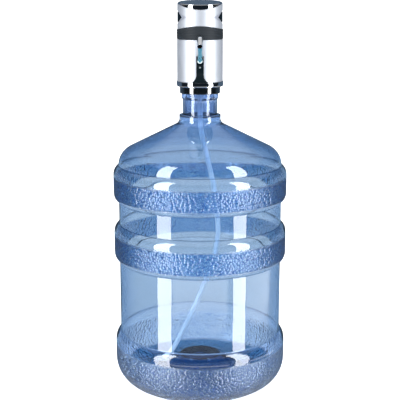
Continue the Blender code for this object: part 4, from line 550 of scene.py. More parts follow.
def swept(name, stations, sides, closed=True):
    """A skin over rings, each a point, a direction and a radius; closed joins the last ring to the first."""
    work = bmesh.new()
    across = Vector((1, 0, 0))
    rows = []
    for point, heading, radius in stations:
        heading = Vector(heading).normalized()
        across = (across - heading * across.dot(heading)).normalized()
        up = heading.cross(across)
        row = []
        for side in range(sides):
            angle = math.tau * side / sides
            spoke = across * math.cos(angle) + up * math.sin(angle)
            row.append(work.verts.new(Vector(point) + spoke * radius))
        rows.append(row)
    pairs = list(zip(rows, rows[1:]))
    if closed:
        pairs.append((rows[-1], rows[0]))
    else:
        work.faces.new(rows[0][::-1])
        work.faces.new(rows[-1])
    skin_over(work, pairs)
    return shape_from(name, work)


def bake_modifiers(obj):
    bpy.context.view_layer.update()
    graph = bpy.context.evaluated_depsgraph_get()
    mesh = bpy.data.meshes.new_from_object(obj.evaluated_get(graph))
    obj.modifiers.clear()
    old = obj.data
    obj.data = mesh
    bpy.data.meshes.remove(old)
    return obj


def carve(obj, cutter, operation="DIFFERENCE"):
    """Cuts, joins or crosses obj with a helper, which is then thrown away."""
    boolean = obj.modifiers.new("carve", "BOOLEAN")
    boolean.operation = operation
    boolean.object = cutter
    boolean.solver = "EXACT"
    bake_modifiers(obj)
    bpy.data.objects.remove(cutter, do_unlink=True)
    if len(obj.data.polygons) == 0:
        raise RuntimeError(obj.name + " is empty after a " + operation)
    return obj


def round_edges(obj, width, angle_deg=40, segments=2):
    bevel = obj.modifiers.new("rounding", "BEVEL")
    bevel.width = width
    bevel.segments = segments
    bevel.limit_method = "ANGLE"
    bevel.angle_limit = math.radians(angle_deg)
    bevel.use_clamp_overlap = True
    return bake_modifiers(obj)


def dress(obj, slot, body, *nodes, sharp_deg=38, look=None, flats=True):
    """Finishes a new piece: shading, material, the body that it rides on and the nodes that it stands for."""
    obj.data.shade_smooth()
    obj.data.set_sharp_from_angle(angle=math.radians(sharp_deg))
    if flats:
        even = obj.modifiers.new("flats", "WEIGHTED_NORMAL")
        even.keep_sharp = True
        even.weight = 75
    obj.data.materials.clear()
    obj.data.materials.append(finish(look or slot))
    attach(obj, body)
    if nodes:
        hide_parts(*nodes)
    return obj


def dress_part(obj, slot, covers):
    """Gives a second material to the faces that it covers."""
    obj.data.materials.append(finish(slot))
    for face in obj.data.polygons:
        if covers(face):
            face.material_index = 1


def arc(centre, radius, start_deg, end_deg, steps):
    points = []
    for step in range(steps + 1):
        angle = math.radians(start_deg + (end_deg - start_deg) * step / steps)
        points.append((centre[0] + radius * math.cos(angle), centre[1] + radius * math.sin(angle)))
    return points


def smooth_line(route, spacing):
    """Points about one spacing apart on a Catmull-Rom curve through the route."""
    points = [Vector(place) for place in route]
    ends = [points[0] * 2 - points[1]] + points + [points[-1] * 2 - points[-2]]
    line = []
    for before, start, end, after in zip(ends, ends[1:], ends[2:], ends[3:]):
        steps = max(1, round((end - start).length / spacing))
        for step in range(steps):
            t = step / steps
            square = (2 * before - 5 * start + 4 * end - after) * t * t
            cube = (3 * start - before - 3 * end + after) * t * t * t
            line.append(0.5 * (2 * start + (end - before) * t + square + cube))
    line.append(points[-1])
    return line


def headings(line):
    joined = [line[0]] + list(line) + [line[-1]]
    return [(after - before).normalized() for before, after in zip(joined, joined[2:])]


def grip_top(angle):
    return GRIP_SIDE_TOP + GRIP_ARCH * math.cos(angle) ** 2


def rim_bottom(angle):
    return RIM_SIDE - (RIM_DIP * math.cos(angle) ** 2 if math.cos(angle) > 0 else 0)


def top_plane(angle, radius):
    return TOP - radius * math.cos(angle) * math.tan(SLANT)


def oblong(left, low, right, high):
    return [(left, low), (right, low), (right, high), (left, high)]


def ring_outline(inner, outer, low, high):
    return [(outer, high), (outer, low), (inner, low), (inner, high)]


def at_height(height, out):
    return Matrix.Translation((0, 0, height)) @ out


def drill(name, radius, low, high, place, sides=48):
    return revolved(name, [(0, high), (radius, high), (radius, low), (0, low)], sides, place)


def box_middle(node):
    low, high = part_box(node)
    return (low + high) / 2


def almond(half_width, half_height, steps=12):
    """A pointed oval, wide across."""
    shares = [2 * i / steps - 1 for i in range(steps)]
    lower = [(half_width * share, -half_height * (1 - share**2)) for share in shares]
    return lower + [(-u, -v) for u, v in lower]


def coil(name, place, radius, start, end, turns, wire):
    """A compression spring's wire, with its end turns wound close."""
    count = turns * 20
    line = []
    for step in range(count + 1):
        share = step / count
        eased = share - math.sin(math.tau * share) / math.tau * 0.45
        angle = math.tau * turns * share
        along = start + (end - start) * eased
        line.append(place @ Vector((radius * math.cos(angle), radius * math.sin(angle), along)))
    return swept(name, [(p, d, wire) for p, d in zip(line, headings(line))], 10, closed=False)


# Stage


class WATERPUMP_OT_stage(bpy.types.Operator):
    """Set up the camera, the pale floor, the softboxes and the room"""

    bl_idname = "water_pump.stage"
    bl_label = "Stage"

    def execute(self, context):
        scene = context.scene
        studio = scene.water_pump_studio
        camera_data = bpy.data.cameras.new("camera")
        camera_data.lens = studio.lens
        camera_data.sensor_width = 36.0
        camera_data.clip_end = 200.0
        camera = object_from("camera", camera_data)
        camera.location = studio.camera
        camera.rotation_euler = (studio.pitch, 0, 0)
        scene.camera = camera
        scene.view_settings.view_transform = "Standard"
        scene.view_settings.look = "None"

        size = 80.0
        mesh = bpy.data.meshes.new("floor")
        corners = [(-size, -size, 0), (size, -size, 0), (size, size, 0), (-size, size, 0)]
        mesh.from_pydata(corners, [], [(0, 1, 2, 3)])
        floor = object_from("floor", mesh)
        mesh.materials.append(finish("pale_floor"))
        floor.visible_glossy = False
        floor.visible_shadow = False

        for name, azimuth, width in (("left_softbox", -49, 0.58), ("right_softbox", 55, 0.54)):
            angle = math.radians(azimuth)
            light = bpy.data.lights.new(name, "AREA")
            light.shape = "RECTANGLE"
            light.size = width
            light.size_y = 3.4
            light.energy = studio.softbox * width * light.size_y * math.pi
            softbox = object_from(name, light)
            reach = 1.6
            softbox.location = (reach * math.sin(angle), -reach * math.cos(angle), 0.5)
            softbox.rotation_euler = (math.pi / 2, 0, angle)
            softbox.visible_diffuse = False

        world = bpy.data.worlds.new("studio_room")
        world.use_nodes = True
        tree = world.node_tree
        tree.nodes.clear()
        way = add(tree, "ShaderNodeTexCoord").outputs["Generated"]
        parts = add(tree, "ShaderNodeSeparateXYZ", {0: way})
        ramps = {
            "front card": ("Y", -0.70, -0.78, studio.card),
            "right card": ("X", 0.80, 0.92, studio.card),
            "top of the cards": ("Z", -0.235, -0.285, 1.0),
            "foot of the cards": ("Z", -0.345, -0.315, 1.0),
            "behind": ("Y", 0.12, 0.30, 1.0),
            "ceiling": ("Z", 0.45, 0.75, studio.ceiling),
        }
        for name, (axis, start, end, level) in ramps.items():
            sockets = {"Value": parts.outputs[axis], "From Min": start, "From Max": end, "To Max": level}
            ramps[name] = add(tree, "ShaderNodeMapRange", sockets, **SMOOTH)
        heights = {0: ramps["top of the cards"], 1: ramps["foot of the cards"]}
        card_height = add(tree, "ShaderNodeMath", heights, **TIMES)
        cards = {0: ramps["front card"], 1: ramps["right card"]}
        either = add(tree, "ShaderNodeMath", cards, operation="MAXIMUM")
        card = add(tree, "ShaderNodeMath", {0: either, 1: card_height}, **TIMES)
        sides = {0: ramps["behind"], 2: studio.flag, 3: studio.sweep}
        around = add(tree, "ShaderNodeMix", sides, data_type="FLOAT")
        down = {"Value": parts.outputs["Z"], "From Min": -0.24, "From Max": -0.90, "To Max": studio.table}
        table = add(tree, "ShaderNodeMapRange", down)
        room = add(tree, "ShaderNodeMix", {0: 1.0, 6: around, 7: linear(studio.shade)}, **TINTED)
        below = add(tree, "ShaderNodeMath", {0: card, 1: table}, operation="MAXIMUM")
        lamps = add(tree, "ShaderNodeMath", {0: ramps["ceiling"], 1: below}, operation="MAXIMUM")
        brightest = {0: 1.0, 6: room.outputs[2], 7: lamps}
        mirrored = add(tree, "ShaderNodeMix", brightest, data_type="RGBA", blend_type="LIGHTEN")
        front_to_back = {
            "Value": parts.outputs["Y"],
            "From Min": -0.6,
            "From Max": 0.9,
            "To Min": studio.room * 1.60,
            "To Max": studio.room * 0.36,
        }
        fill = add(tree, "ShaderNodeMapRange", front_to_back)
        path = add(tree, "ShaderNodeLightPath").outputs
        scattered = {0: path["Is Diffuse Ray"], 6: mirrored.outputs[2], 7: fill}
        matt = add(tree, "ShaderNodeMix", scattered, **COLOURS)
        inside = add(tree, "ShaderNodeMath", {0: path["Diffuse Depth"], 1: 0.5}, operation="GREATER_THAN")
        up = {"Value": parts.outputs["Z"], "From Min": 0.02, "From Max": 0.25}
        up |= {"To Min": 1.0, "To Max": studio.dusk}
        dusk = add(tree, "ShaderNodeMapRange", up, **SMOOTH)
        through = add(tree, "ShaderNodeMix", {0: inside, 2: dusk, 3: studio.inside}, data_type="FLOAT")
        bent = {0: path["Is Transmission Ray"], 6: matt.outputs[2], 7: through}
        seen = add(tree, "ShaderNodeMix", bent, **COLOURS)
        straight = {0: path["Is Camera Ray"], 6: seen.outputs[2], 7: linear("#ffffff")}
        level = add(tree, "ShaderNodeMix", straight, **COLOURS)
        glow = add(tree, "ShaderNodeBackground", {"Color": level.outputs[2], "Strength": 1.0})
        add(tree, "ShaderNodeOutputWorld", {"Surface": glow})
        world.cycles.sampling_method = "NONE"
        scene.world = world
        return {"FINISHED"}


# Tube


class WATERPUMP_OT_intake_tube(bpy.types.Operator):
    """Hang the silicone intake tube from the inlet fitting to the bottle's floor"""

    bl_idname = "water_pump.intake_tube"
    bl_label = "Intake tube"

    def execute(self, context):
        line = smooth_line(TUBE_ROUTE, 0.006)
        ways = headings(line)
        outer, bore, lip = 0.0040, 0.0027, 0.0003
        stations = [(line[0], ways[0], outer)]
        stations += [(p, d, outer) for p, d in zip(line[1:-1], ways[1:-1])]
        stations += [(line[-1] - ways[-1] * lip, ways[-1], outer), (line[-1], ways[-1], outer - lip)]
        stations += [(line[-1], ways[-1], bore + lip), (line[-1] - ways[-1] * lip, ways[-1], bore)]
        stations += [(p, d, bore) for p, d in zip(line[-2:0:-1], ways[-2:0:-1])]
        stations += [(line[0], ways[0], bore)]
        tube = swept("silicone_intake_tube", stations, 28)
        dress(tube, "clear_silicone", "pump", "intake_tube")
        return {"FINISHED"}


# Bottle


def swell(share):
    """How far a band has risen at that share of its flare."""
    return 1 - (1 - share) ** 2.95


def flare_shares():
    """Shares of a flare from its narrow edge to its full width, closest together at the edge."""
    return [(step / BAND_STEPS) ** 1.4 for step in range(BAND_STEPS + 1)]


def flare_radius(share, inset):
    return WALL + (BAND - WALL) * swell(share) - inset


def band_side(low, high, flare, inset):
    """A band from its top edge to its bottom edge; each point is a radius, a height and how pebbled it is."""
    pebbled = 1.0 if inset == 0 else 0.0
    points = [(flare_radius(share, inset), high - flare * share, 0.0) for share in flare_shares()]
    top, bottom = high - flare, low + flare
    points += [(BAND - inset, top + (bottom - top) * step / 8, pebbled) for step in range(1, 8)]
    for share in reversed(flare_shares()):
        points.append((flare_radius(share, inset), low + flare * share, pebbled if share > 0.45 else 0.0))
    return points


def bottle_side(inset):
    """The bottle's side from the shoulder down to the foot, as far inside the outer face as the inset."""
    pebbled = 1.0 if inset == 0 else 0.0
    centre = (WALL - SHOULDER_ROUND, UPPER_BAND[1])
    curve = arc(centre, SHOULDER_ROUND - inset, 90 - math.degrees(SHOULDER_SLOPE), 0, 14)
    points = [(r, z, 0.0) for r, z in curve[:-1]]
    for low, high in (UPPER_BAND, MIDDLE_BAND):
        points += band_side(low, high, FLARE, inset)
        gap_low = MIDDLE_BAND[1] if low == UPPER_BAND[0] else RING_TOP
        heights = [low + (gap_low - low) * step / 5 for step in range(1, 5)]
        heights = [low - CREASE, *heights, gap_low + CREASE]
        points += [(WALL - inset, height, 0.0) for height in heights]
    for share in flare_shares():
        points.append((flare_radius(share, inset), RING_TOP - (RING_TOP - RING_FULL_TOP) * share, 0.0))
    for step in range(1, 5):
        points.append((BAND - inset, RING_FULL_TOP + (FOOT_ROUND - RING_FULL_TOP) * step / 5, pebbled))
    for step in range(15):
        angle = math.pi / 2 * step / 14
        reach = (BAND - FOOT - inset) * math.cos(angle)
        drop = (FOOT_ROUND - inset) * math.sin(angle)
        points.append((FOOT + reach, FOOT_ROUND - drop, pebbled if step < 13 else 0.0))
    return points


def region(r, z, pebbled, outside):
    """Which of the bottle's tints a point has."""
    if z > NECK_TINT_FROM:
        return "neck"
    if z > FLANGE_TINT_FROM and outside:
        return "lining"
    if z > UPPER_BAND[1] + SHOULDER_TINT_RISE:
        return "shoulder"
    reach = BASE_TINT_REACH if outside else BASE_TINT_REACH_INSIDE
    if (z < BASE_TINT_TOP and r < reach) or (z < BASE_TINT_TOP_INSIDE and not outside):
        return "base"
    if z < RING_TOP and not outside:
        return "lining"
    # Painted shade: the creases at the bands' edges take a darker tint
    if outside and any(abs(z - edge) < 1e-5 for edge in CREASES):
        return "crease_shade"
    if pebbled:
        return "band" if z > BAND_TINT_FROM else "ring"
    return "wall"


def straight(start, end, steps):
    """The points between two (radius, height) points, without them."""
    across, up = end[0] - start[0], end[1] - start[1]
    return [(start[0] + across * step / steps, start[1] + up * step / steps) for step in range(1, steps)]


def bottle_floor(inset):
    """The pushed-up floor, smoothed between the foot's inner edge and the boss."""
    knots = [(0.0870, 0.0), (0.0783, 0.0079), (0.0609, 0.0202), (0.0452, 0.0310), (0.0350, 0.0360)]
    curve = smooth_line([(r, z, 0) for r, z in knots], 0.004)
    points = [(p.x, max(p.y, 0.0) + inset, 0.0) for p in curve]
    boss = 0.0400 + inset
    below = [(0.0344, 0.0022), (0.0330, 0), (0.0090, 0), (0.0082, 0.0006), (0.0070, 0.0018), (0.0060, 0.0020)]
    return points + [(r, boss - drop, 0.0) for r, drop in (*below, (0.0, 0.0020))]


class WATERPUMP_OT_bottle(bpy.types.Operator):
    """Blow the blue bottle with its two bands, pebbled foot ring and pushed-up floor"""

    bl_idname = "water_pump.bottle"
    bl_label = "Bottle"

    def execute(self, context):
        bottle, _ = settings()
        outer, inner = bottle_side(0), bottle_side(SKIN)
        cone_foot = (0.0360, 0.42043)
        neck = [(BORE + 0.0010, MOUTH), (0.0266, MOUTH), (0.0272, MOUTH - 0.0006), (0.0272, 0.4700)]
        neck += [(0.0276, 0.4695), (0.0281, 0.4685), (0.0281, 0.4598), (0.0277, 0.4590), (0.0270, 0.4588)]
        neck += [(0.0268, 0.4580), (0.0268, 0.4352), (0.0272, 0.4346), (0.0316, 0.4345), (0.0322, 0.4338)]
        neck += [(0.0322, 0.4262), (0.0325, 0.4254), (0.0333, 0.4238), (0.0345, 0.4220), cone_foot]
        slope = straight(cone_foot, outer[0][:2], 12)
        # The wall stays thin up to the flange, as blowing leaves it; a thick foot would mirror the black collar
        inner_start = inner[0][:2]
        foot_height = inner_start[1] + (inner_start[0] - BORE_FOOT) * math.tan(SHOULDER_SLOPE)
        bore = straight(inner_start, (BORE_FOOT, foot_height), 12) + [(BORE_FOOT, foot_height)]
        bore += [(r, foot_height + rise) for r, rise in ((0.0330, 0.0012), (0.0316, 0.0028), (0.0308, 0.0044))]
        bore += [(0.0303, 0.4262), (0.0301, 0.4310), (0.0290, 0.4326), (0.0262, 0.4340)]
        bore += [(BORE + 0.0010, 0.4350), (BORE, 0.4364), (BORE, 0.455), (BORE, MOUTH - 0.001)]
        loop = [(r, z, 0.0) for r, z in neck + slope] + outer + bottle_floor(0)
        inside = len(loop)
        loop += bottle_floor(SKIN)[::-1] + inner[::-1] + [(r, z, 0.0) for r, z in bore]
        names = ("wall", "shoulder", "neck", "band", "ring", "lining", "base", "crease_shade")
        tints = {name: linear(getattr(bottle, name)) for name in names}
        # The last value is how strongly the painted shade in the valleys between pebbles shows
        tints["ring"] = (*tints["ring"][:3], 0.8)
        work = bmesh.new()
        layer = work.verts.layers.float.new("pebbled")
        tint = work.verts.layers.float_color.new("tint")
        rows = []
        for side in range(bottle.sides):
            row = ring(work, [(r, z) for r, z, _ in loop], math.tau * side / bottle.sides)
            for i, (vert, (r, z, pebbled)) in enumerate(zip(row, loop)):
                vert[layer] = pebbled
                vert[tint] = tints[region(r, z, pebbled, i < inside)]
            rows.append(row)
        skin_over(work, zip(rows, rows[1:] + rows[:1]))
        weld(work)
        blown = shape_from("blown_bottle", work)
        dress(blown, "blue_polycarbonate", "bottle", "water_bottle", sharp_deg=50, flats=False)
        return {"FINISHED"}


# Seat on the neck


class WATERPUMP_OT_seat(bpy.types.Operator):
    """Seat the pump on the neck: gasket, black collar and chromed ring"""

    bl_idname = "water_pump.seat"
    bl_label = "Seat"

    def execute(self, context):
        _, pump = settings()
        gasket = [(0.0286, 0.4886), (0.0286, 0.4873), (0.0232, 0.4873)]
        gasket += [(0.0232, 0.4835), (0.0215, 0.4835), (0.0215, 0.4886)]
        moulding = revolved("moulded_neck_gasket", rounded(gasket, 0.0005), pump.sides)
        dress(moulding, "white_silicone", "seat", "neck_gasket")
        outline = [(0.0329, 0.4886), (0.0329, 0.4860), (0.0360, 0.4860), (0.0360, 0.4798)]
        outline += [(0.0354, 0.4786), (0.0342, 0.4780), (0.0315, 0.4780), (0.0315, 0.4886)]
        sizes = [0.0002, 0.0002, 0.0007, 0.0010, 0.0008, 0.0008, 0.0003, 0.0002]
        chromed = revolved("chromed_base_ring", rounded(outline, sizes, 4), pump.sides)
        dress(chromed, "chrome", "pump", "base_ring")
        collar = [(0.0329, 0.4919), (0.0329, 0.4889), (0.0312, 0.4889), (0.0312, 0.4675)]
        collar += [(0.0284, 0.4675), (0.0284, 0.4685), (0.0290, 0.4695), (0.0290, 0.4889)]
        collar += [(0.0043, 0.4889), (0.0043, 0.4904), (0.0059, 0.4904), (0.0059, 0.4919)]
        sizes = [0.0002, 0.0002, 0.0001, 0.0026, 0.0004, 0.0002, 0.0002]
        sizes += [0.0001, 0.0001, 0.0001, 0.0001, 0.0002]
        seat = revolved("black_neck_collar", rounded(collar, sizes, 4), pump.sides)
        for name in ("collar_screw_1", "collar_screw_2", "collar_screw_3"):
            middle = box_middle(name)
            place = Matrix.Translation((middle.x, middle.y, 0))
            carve(seat, drill("screw_way", 0.0014, 0.4880, 0.4930, place, 24))
        angle = math.radians(300)
        vent = Matrix.Translation((0.0150 * math.cos(angle), 0.0150 * math.sin(angle), 0))
        carve(seat, drill("vent", 0.0010, 0.4880, 0.4930, vent, 24))
        dress(seat, "gloss_black", "pump", "neck_collar")
        return {"FINISHED"}


# Casing


def pin_drill(name, radius):
    place = Matrix.Translation(LEVER_AXIS) @ Matrix.Rotation(math.pi / 2, 4, "Y")
    return drill(name, radius, -0.006, 0.006, place)


def spout_drill(name, radius=0.0047):
    return drill(name, radius, SPOUT_ROOT, 0.0400, at_height(SPOUT_HEIGHT, FRONT))


def lens_drill(name):
    return drill(name, 0.0015, 0.0280, 0.0420, at_height(LENS_HEIGHT, FRONT))


class WATERPUMP_OT_casing(bpy.types.Operator):
    """Mould the two silver shells"""

    bl_idname = "water_pump.casing"
    bl_label = "Casing"

    def execute(self, context):
        _, pump = settings()
        lower = [(UNDER_GRIP, SHELL_JOINT), (UNDER_GRIP, GRIP_BOTTOM - GAP), (SHELL, GRIP_BOTTOM - GAP)]
        lower += [(SHELL, 0.4863), (SHELL_INSIDE, 0.4863), (SHELL_INSIDE, SHELL_JOINT)]
        shell = revolved("lower_silver_shell", rounded(lower, pump.edge), pump.sides)
        carve(shell, spout_drill("spout_way"))
        carve(shell, lens_drill("lens_way"))
        slot = oblong(-0.0023, -0.0026, 0.0023, 0.0018)
        place = at_height(TAB_HEIGHT, FRONT)
        carve(shell, prism("tab_slot", slot, *WALL_DEPTHS, place))
        port = rounded(oblong(-0.0049, -0.0019, 0.0049, 0.0019), 0.0012, 5)
        place = at_height(PORT_HEIGHT, BACK)
        carve(shell, prism("port_way", port, *WALL_DEPTHS, place))
        root, axis, around = -UNDER_GRIP, LEVER_AXIS[1:], 0.0024
        outline = [(root, axis[1] + around)] + arc(axis, around, 90, 270, 16) + [(root, axis[1] - around)]
        for ends in ((-0.0038, -0.0022), (0.0022, 0.0038)):
            lug = prism("lug", outline, *ends, RIGHT)
            carve(lug, pin_drill("lug_hole", 0.0008))
            carve(shell, lug, "UNION")
        dress(shell, "satin_silver", "pump", "lower_shell")

        def upper_outline(angle):
            points = [
                (UPPER, rim_bottom(angle) - GAP),
                (UPPER, grip_top(angle) + GAP),
                (UNDER_GRIP, grip_top(angle) + GAP),
                (UNDER_GRIP, SHELL_JOINT + GAP),
                (UPPER_INSIDE, SHELL_JOINT + GAP),
                (UPPER_INSIDE, rim_bottom(angle) - GAP),
            ]
            return rounded(points, [0.0002, pump.edge, 0.0001, 0.0001, 0.0001, 0.0001])

        shell = revolved("upper_silver_shell", upper_outline, pump.sides)
        for frame_out in (RIGHT, LEFT):
            place = at_height(PAD_HEIGHT, frame_out)
            scoop = prism("scoop", almond(0.0286, 0.0098), *PAD_DEPTHS, place)
            offset = 0.0370 - (UPPER - 0.0014)
            drum_place = Matrix.Translation(Vector((0, 0, PAD_HEIGHT)) + frame_out @ Vector((0, 0, -offset)))
            carve(scoop, drill("scoop_drum", 0.0370, -0.02, 0.02, drum_place, 256))
            carve(shell, scoop)
            carve(shell, prism("pad_window", almond(0.0202, 0.0082), *PAD_DEPTHS, place))
        dress(shell, "satin_silver", "pump", "upper_shell")

        def in_scoop(face):
            middle, out = face.center, face.normal
            reach = math.hypot(middle.x, middle.y)
            outward = out.x * middle.x + out.y * middle.y > 0.5 * reach
            scooped = outward and UPPER_INSIDE + GAP < reach < UPPER - 0.00003
            return scooped and abs(middle.z - PAD_HEIGHT) < 0.0100 and abs(middle.x) > 0.0160

        # The scoops take a darker copy of the silver, painted shade in their hollows
        dress_part(shell, "scoop_shade_silver", in_scoop)
        return {"FINISHED"}


class WATERPUMP_OT_grip(bpy.types.Operator):
    """Mould the ribbed rubber band whose top arches at the front and the back"""

    bl_idname = "water_pump.grip"
    bl_label = "Grip band"

    def execute(self, context):
        _, pump = settings()
        ribs, edge_share = 4, 0.06
        rib_share = (1 - 2 * edge_share) / ribs
        valley = GRIP - 0.0004

        def outline(angle):
            rise = grip_top(angle) - GRIP_BOTTOM
            shares = [(valley, 1.0)]
            for rib in reversed(range(ribs)):
                low = edge_share + rib_share * rib
                shares.append((GRIP, low + rib_share * 0.80))
                shares.append((GRIP, low + rib_share * 0.25))
                shares.append((valley, low + rib_share * 0.12))
                shares.append((valley, low))
            shares += [(valley, 0.0), (0.0345, 0.0), (0.0345, 1.0)]
            return rounded([(r, GRIP_BOTTOM + s * rise) for r, s in shares], 0.0003, 2)

        band = revolved("ribbed_grip_band", outline, pump.sides)
        carve(band, spout_drill("band_spout_way"))
        dress(band, "black_silicone", "pump", "grip_band")
        return {"FINISHED"}


class WATERPUMP_OT_top(bpy.types.Operator):
    """Set the slanted chromed rim and the pressed disc in it"""

    bl_idname = "water_pump.top"
    bl_label = "Top"

    def execute(self, context):
        _, pump = settings()
        outer, inner = 0.0332, 0.0319

        def outline(angle):
            points = [
                (outer, top_plane(angle, outer)),
                (UPPER, rim_bottom(angle)),
                (inner, rim_bottom(angle)),
                (inner, top_plane(angle, inner)),
            ]
            return rounded(points, [0.0006, 0.0004, 0.0001, 0.0003], 4)

        dress(revolved("chromed_top_rim", outline, pump.sides), "chrome", "pump", "top_rim")
        low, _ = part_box("top_button")
        place = Matrix.Translation((0, 0, TOP)) @ Matrix.Rotation(SLANT, 4, "X")
        foot = (low.z - TOP) / math.cos(SLANT) + 0.0003
        disc = [(0.0, 0.0), (0.0311, 0.0), (0.0315, -0.0004), (0.0315, -0.0022)]
        disc += [(0.0020, -0.0022), (0.0020, foot), (0.0, foot)]
        sizes = [0, 0.0003, 0.0003, 0.0002, 0.0002, 0.0003, 0]
        button = revolved("pressed_top_disc", rounded(disc, sizes, 3, (0, 6)), pump.sides, place)
        dress(button, "smoked_disc", "top_disc", "top_button")
        return {"FINISHED"}


class WATERPUMP_OT_spout(bpy.types.Operator):
    """Bend the chromed spout"""

    bl_idname = "water_pump.spout"
    bl_label = "Spout"

    def execute(self, context):
        bend, droop = 0.0125, math.radians(40)
        line = [Vector((0, -SPOUT_ROOT, SPOUT_HEIGHT))]
        for step in range(17):
            angle = droop * step / 16
            reach = 0.0365 + bend * math.sin(angle)
            line.append(Vector((0, -reach, SPOUT_HEIGHT - bend * (1 - math.cos(angle)))))
        way = Vector((0, -math.cos(droop), -math.sin(droop)))
        line.append(line[-1] + way * 0.0130)
        ways = [Vector((0, -1, 0))] + headings(line)[1:-1] + [way]
        outer, bore, lip = 0.0044, 0.0034, 0.0003
        stations = [(p, d, outer) for p, d in zip(line[:-1], ways[:-1])]
        tip = line[-1]
        stations += [(tip - way * lip, way, outer), (tip - way * lip * 0.3, way, outer - lip * 0.3)]
        stations += [(tip, way, outer - lip)]
        stations += [(tip, way, bore + lip * 0.7), (tip - way * lip, way, bore)]
        stations += [(p, d, bore) for p, d in zip(line[-2::-1], ways[-2::-1])]
        sides = 48
        spout = dress(swept("chromed_spout", stations, sides), "chrome", "pump", "spout")
        # The plating ends at the mouth's lip; inside it the bore is painted dark as shade
        first_bore_shade_row = len(line) + 2
        dress_part(spout, "bore_shade_black", lambda face: face.index // sides >= first_bore_shade_row)
        return {"FINISHED"}


class WATERPUMP_OT_side_buttons(bpy.types.Operator):
    """Mould the two black almond-shaped buttons that sit in the silver scoops"""

    bl_idname = "water_pump.side_buttons"
    bl_label = "Side buttons"

    def execute(self, context):
        for side, out in (("right", RIGHT), ("left", LEFT)):
            place = at_height(PAD_HEIGHT, out)
            pad = prism(side + "_almond_button", almond(0.0194, 0.0078), *PAD_DEPTHS, place)
            face = ring_outline(0.0306, 0.0345, 0.566, 0.600)
            carve(pad, revolved("pad_face", face, 256), "INTERSECT")
            flange = prism("pad_flange", almond(0.0226, 0.0094), *PAD_DEPTHS, place)
            band = ring_outline(0.0306, 0.0318, 0.566, 0.600)
            carve(flange, revolved("flange_band", band, 256), "INTERSECT")
            carve(pad, flange, "UNION")
            carve(pad, drill("pad_stem", 0.0024, 0.0253, 0.0312, place, 32), "UNION")
            round_edges(pad, 0.00025)
            dress(pad, "gloss_black", side + "_pad", side + "_side_button", look="polished_black")
        return {"FINISHED"}


class WATERPUMP_OT_lever(bpy.types.Operator):
    """Mould the tinted push lever and turn its pin"""

    bl_idname = "water_pump.lever"
    bl_label = "Push lever"

    def execute(self, context):
        # The shoulders start under the lugs, and the eye is wider than the lever, so no faces coincide
        toe = math.degrees(math.acos(0.0028 / TOE_RADIUS))
        shoulder = [(0.0017, 0), (0.0017, -0.0031), (0.00335, -0.0046)]
        outline = shoulder + arc((0, TOE_DROP), TOE_RADIUS, toe, -180 - toe, 28)
        outline += [(-x, z) for x, z in reversed(shoulder)]
        place = Matrix.Translation(LEVER_AXIS)
        lever = prism("tinted_push_lever", outline, -0.0013, 0.0013, place @ FRONT)
        round_edges(lever, 0.0007, 40, 3)
        across = place @ Matrix.Rotation(math.pi / 2, 4, "Y")
        carve(lever, drill("lever_eye", 0.0020, -0.0019, 0.0019, across), "UNION")
        tab = oblong(-0.0018, -0.0013, 0.0018, 0.0013)
        reach = -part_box("push_lever")[1].y
        tab_place = at_height(TAB_HEIGHT, FRONT)
        carve(lever, prism("lever_tab", rounded(tab, 0.0003), reach, 0.0395, tab_place), "UNION")
        turns = [math.radians(180 + 180 * step / 24) for step in range(25)]
        lip = [(0.0029 * math.cos(a), TOE_DROP + 0.0029 * math.sin(a), 0.0013) for a in turns]
        lip = [place @ FRONT @ Vector(point) for point in lip]
        stations = [(p, d, 0.0007) for p, d in zip(lip, headings(lip))]
        carve(lever, swept("toe_lip", stations, 16, closed=False), "UNION")
        carve(lever, pin_drill("lever_hole", 0.0011))
        dress(lever, "teal_plastic", "lever", "push_lever")
        toe_middle = place @ FRONT @ Vector((0, TOE_DROP, 0))

        def on_lip(face):
            out = face.center - toe_middle
            return out.z < 0.0004 and math.hypot(out.x, out.z) > 0.0021

        # The toe's lower lip is painted pale as a highlight
        dress_part(lever, "frosted_lip_highlight", on_lip)
        pin = [(0.0, 0.0038), (0.0008, 0.0038), (0.0008, -0.0038), (0.0, -0.0038)]
        axle = revolved("lever_axle", rounded(pin, 0.0002, 2, (0, 3)), 32, across)
        dress(axle, "bright_steel", "pump", "lever_pin")
        return {"FINISHED"}


class WATERPUMP_OT_spine(bpy.types.Operator):
    """Mould the black spine that cradles the lever's toe, and set the status light in it"""

    bl_idname = "water_pump.spine"
    bl_label = "Spine and light"

    def execute(self, context):
        right = []
        for step in range(17):
            share = step / 16
            right.append((0.0057 + 0.0065 * (1 - share) ** 2.2, 0.4863 + 0.0120 * share))
        right.append((0.0057, 0.5262))
        outline = right + [(-x, z) for x, z in reversed(right)]
        spine = prism("black_spine", outline, *SPINE_DEPTHS, FRONT)
        skin = [(0.0398, 0.530), (0.0398, 0.5130), (0.0376, 0.5000)]
        skin += [(0.0364, 0.484), (0.0355, 0.484), (0.0355, 0.530)]
        sizes = [0, 0.004, 0.004, 0, 0, 0]
        carve(spine, revolved("spine_skin", rounded(skin, sizes, 6, (0, 3, 4, 5)), 256), "INTERSECT")
        half = 0.0045
        pocket = arc((0, 0.5192), half, 180, 360, 28) + [(half, 0.530), (-half, 0.530)]
        carve(spine, prism("cradle", pocket, *SPINE_DEPTHS, FRONT))
        carve(spine, lens_drill("spine_lens_way"))
        round_edges(spine, 0.0004)
        dress(spine, "gloss_black", "pump", "front_spine", look="polished_black")
        turns = [math.pi / 2 * step / 6 for step in range(1, 7)]
        lens = [(0.0, 0.0391)] + [(0.0012 * math.sin(a), 0.0385 + 0.0006 * math.cos(a)) for a in turns]
        lens += [(0.0012, 0.0321), (0.0, 0.0321)]
        place = at_height(LENS_HEIGHT, FRONT)
        dress(revolved("domed_light_lens", lens, 32, place), "clear_lens", "pump", "light_lens")
        return {"FINISHED"}


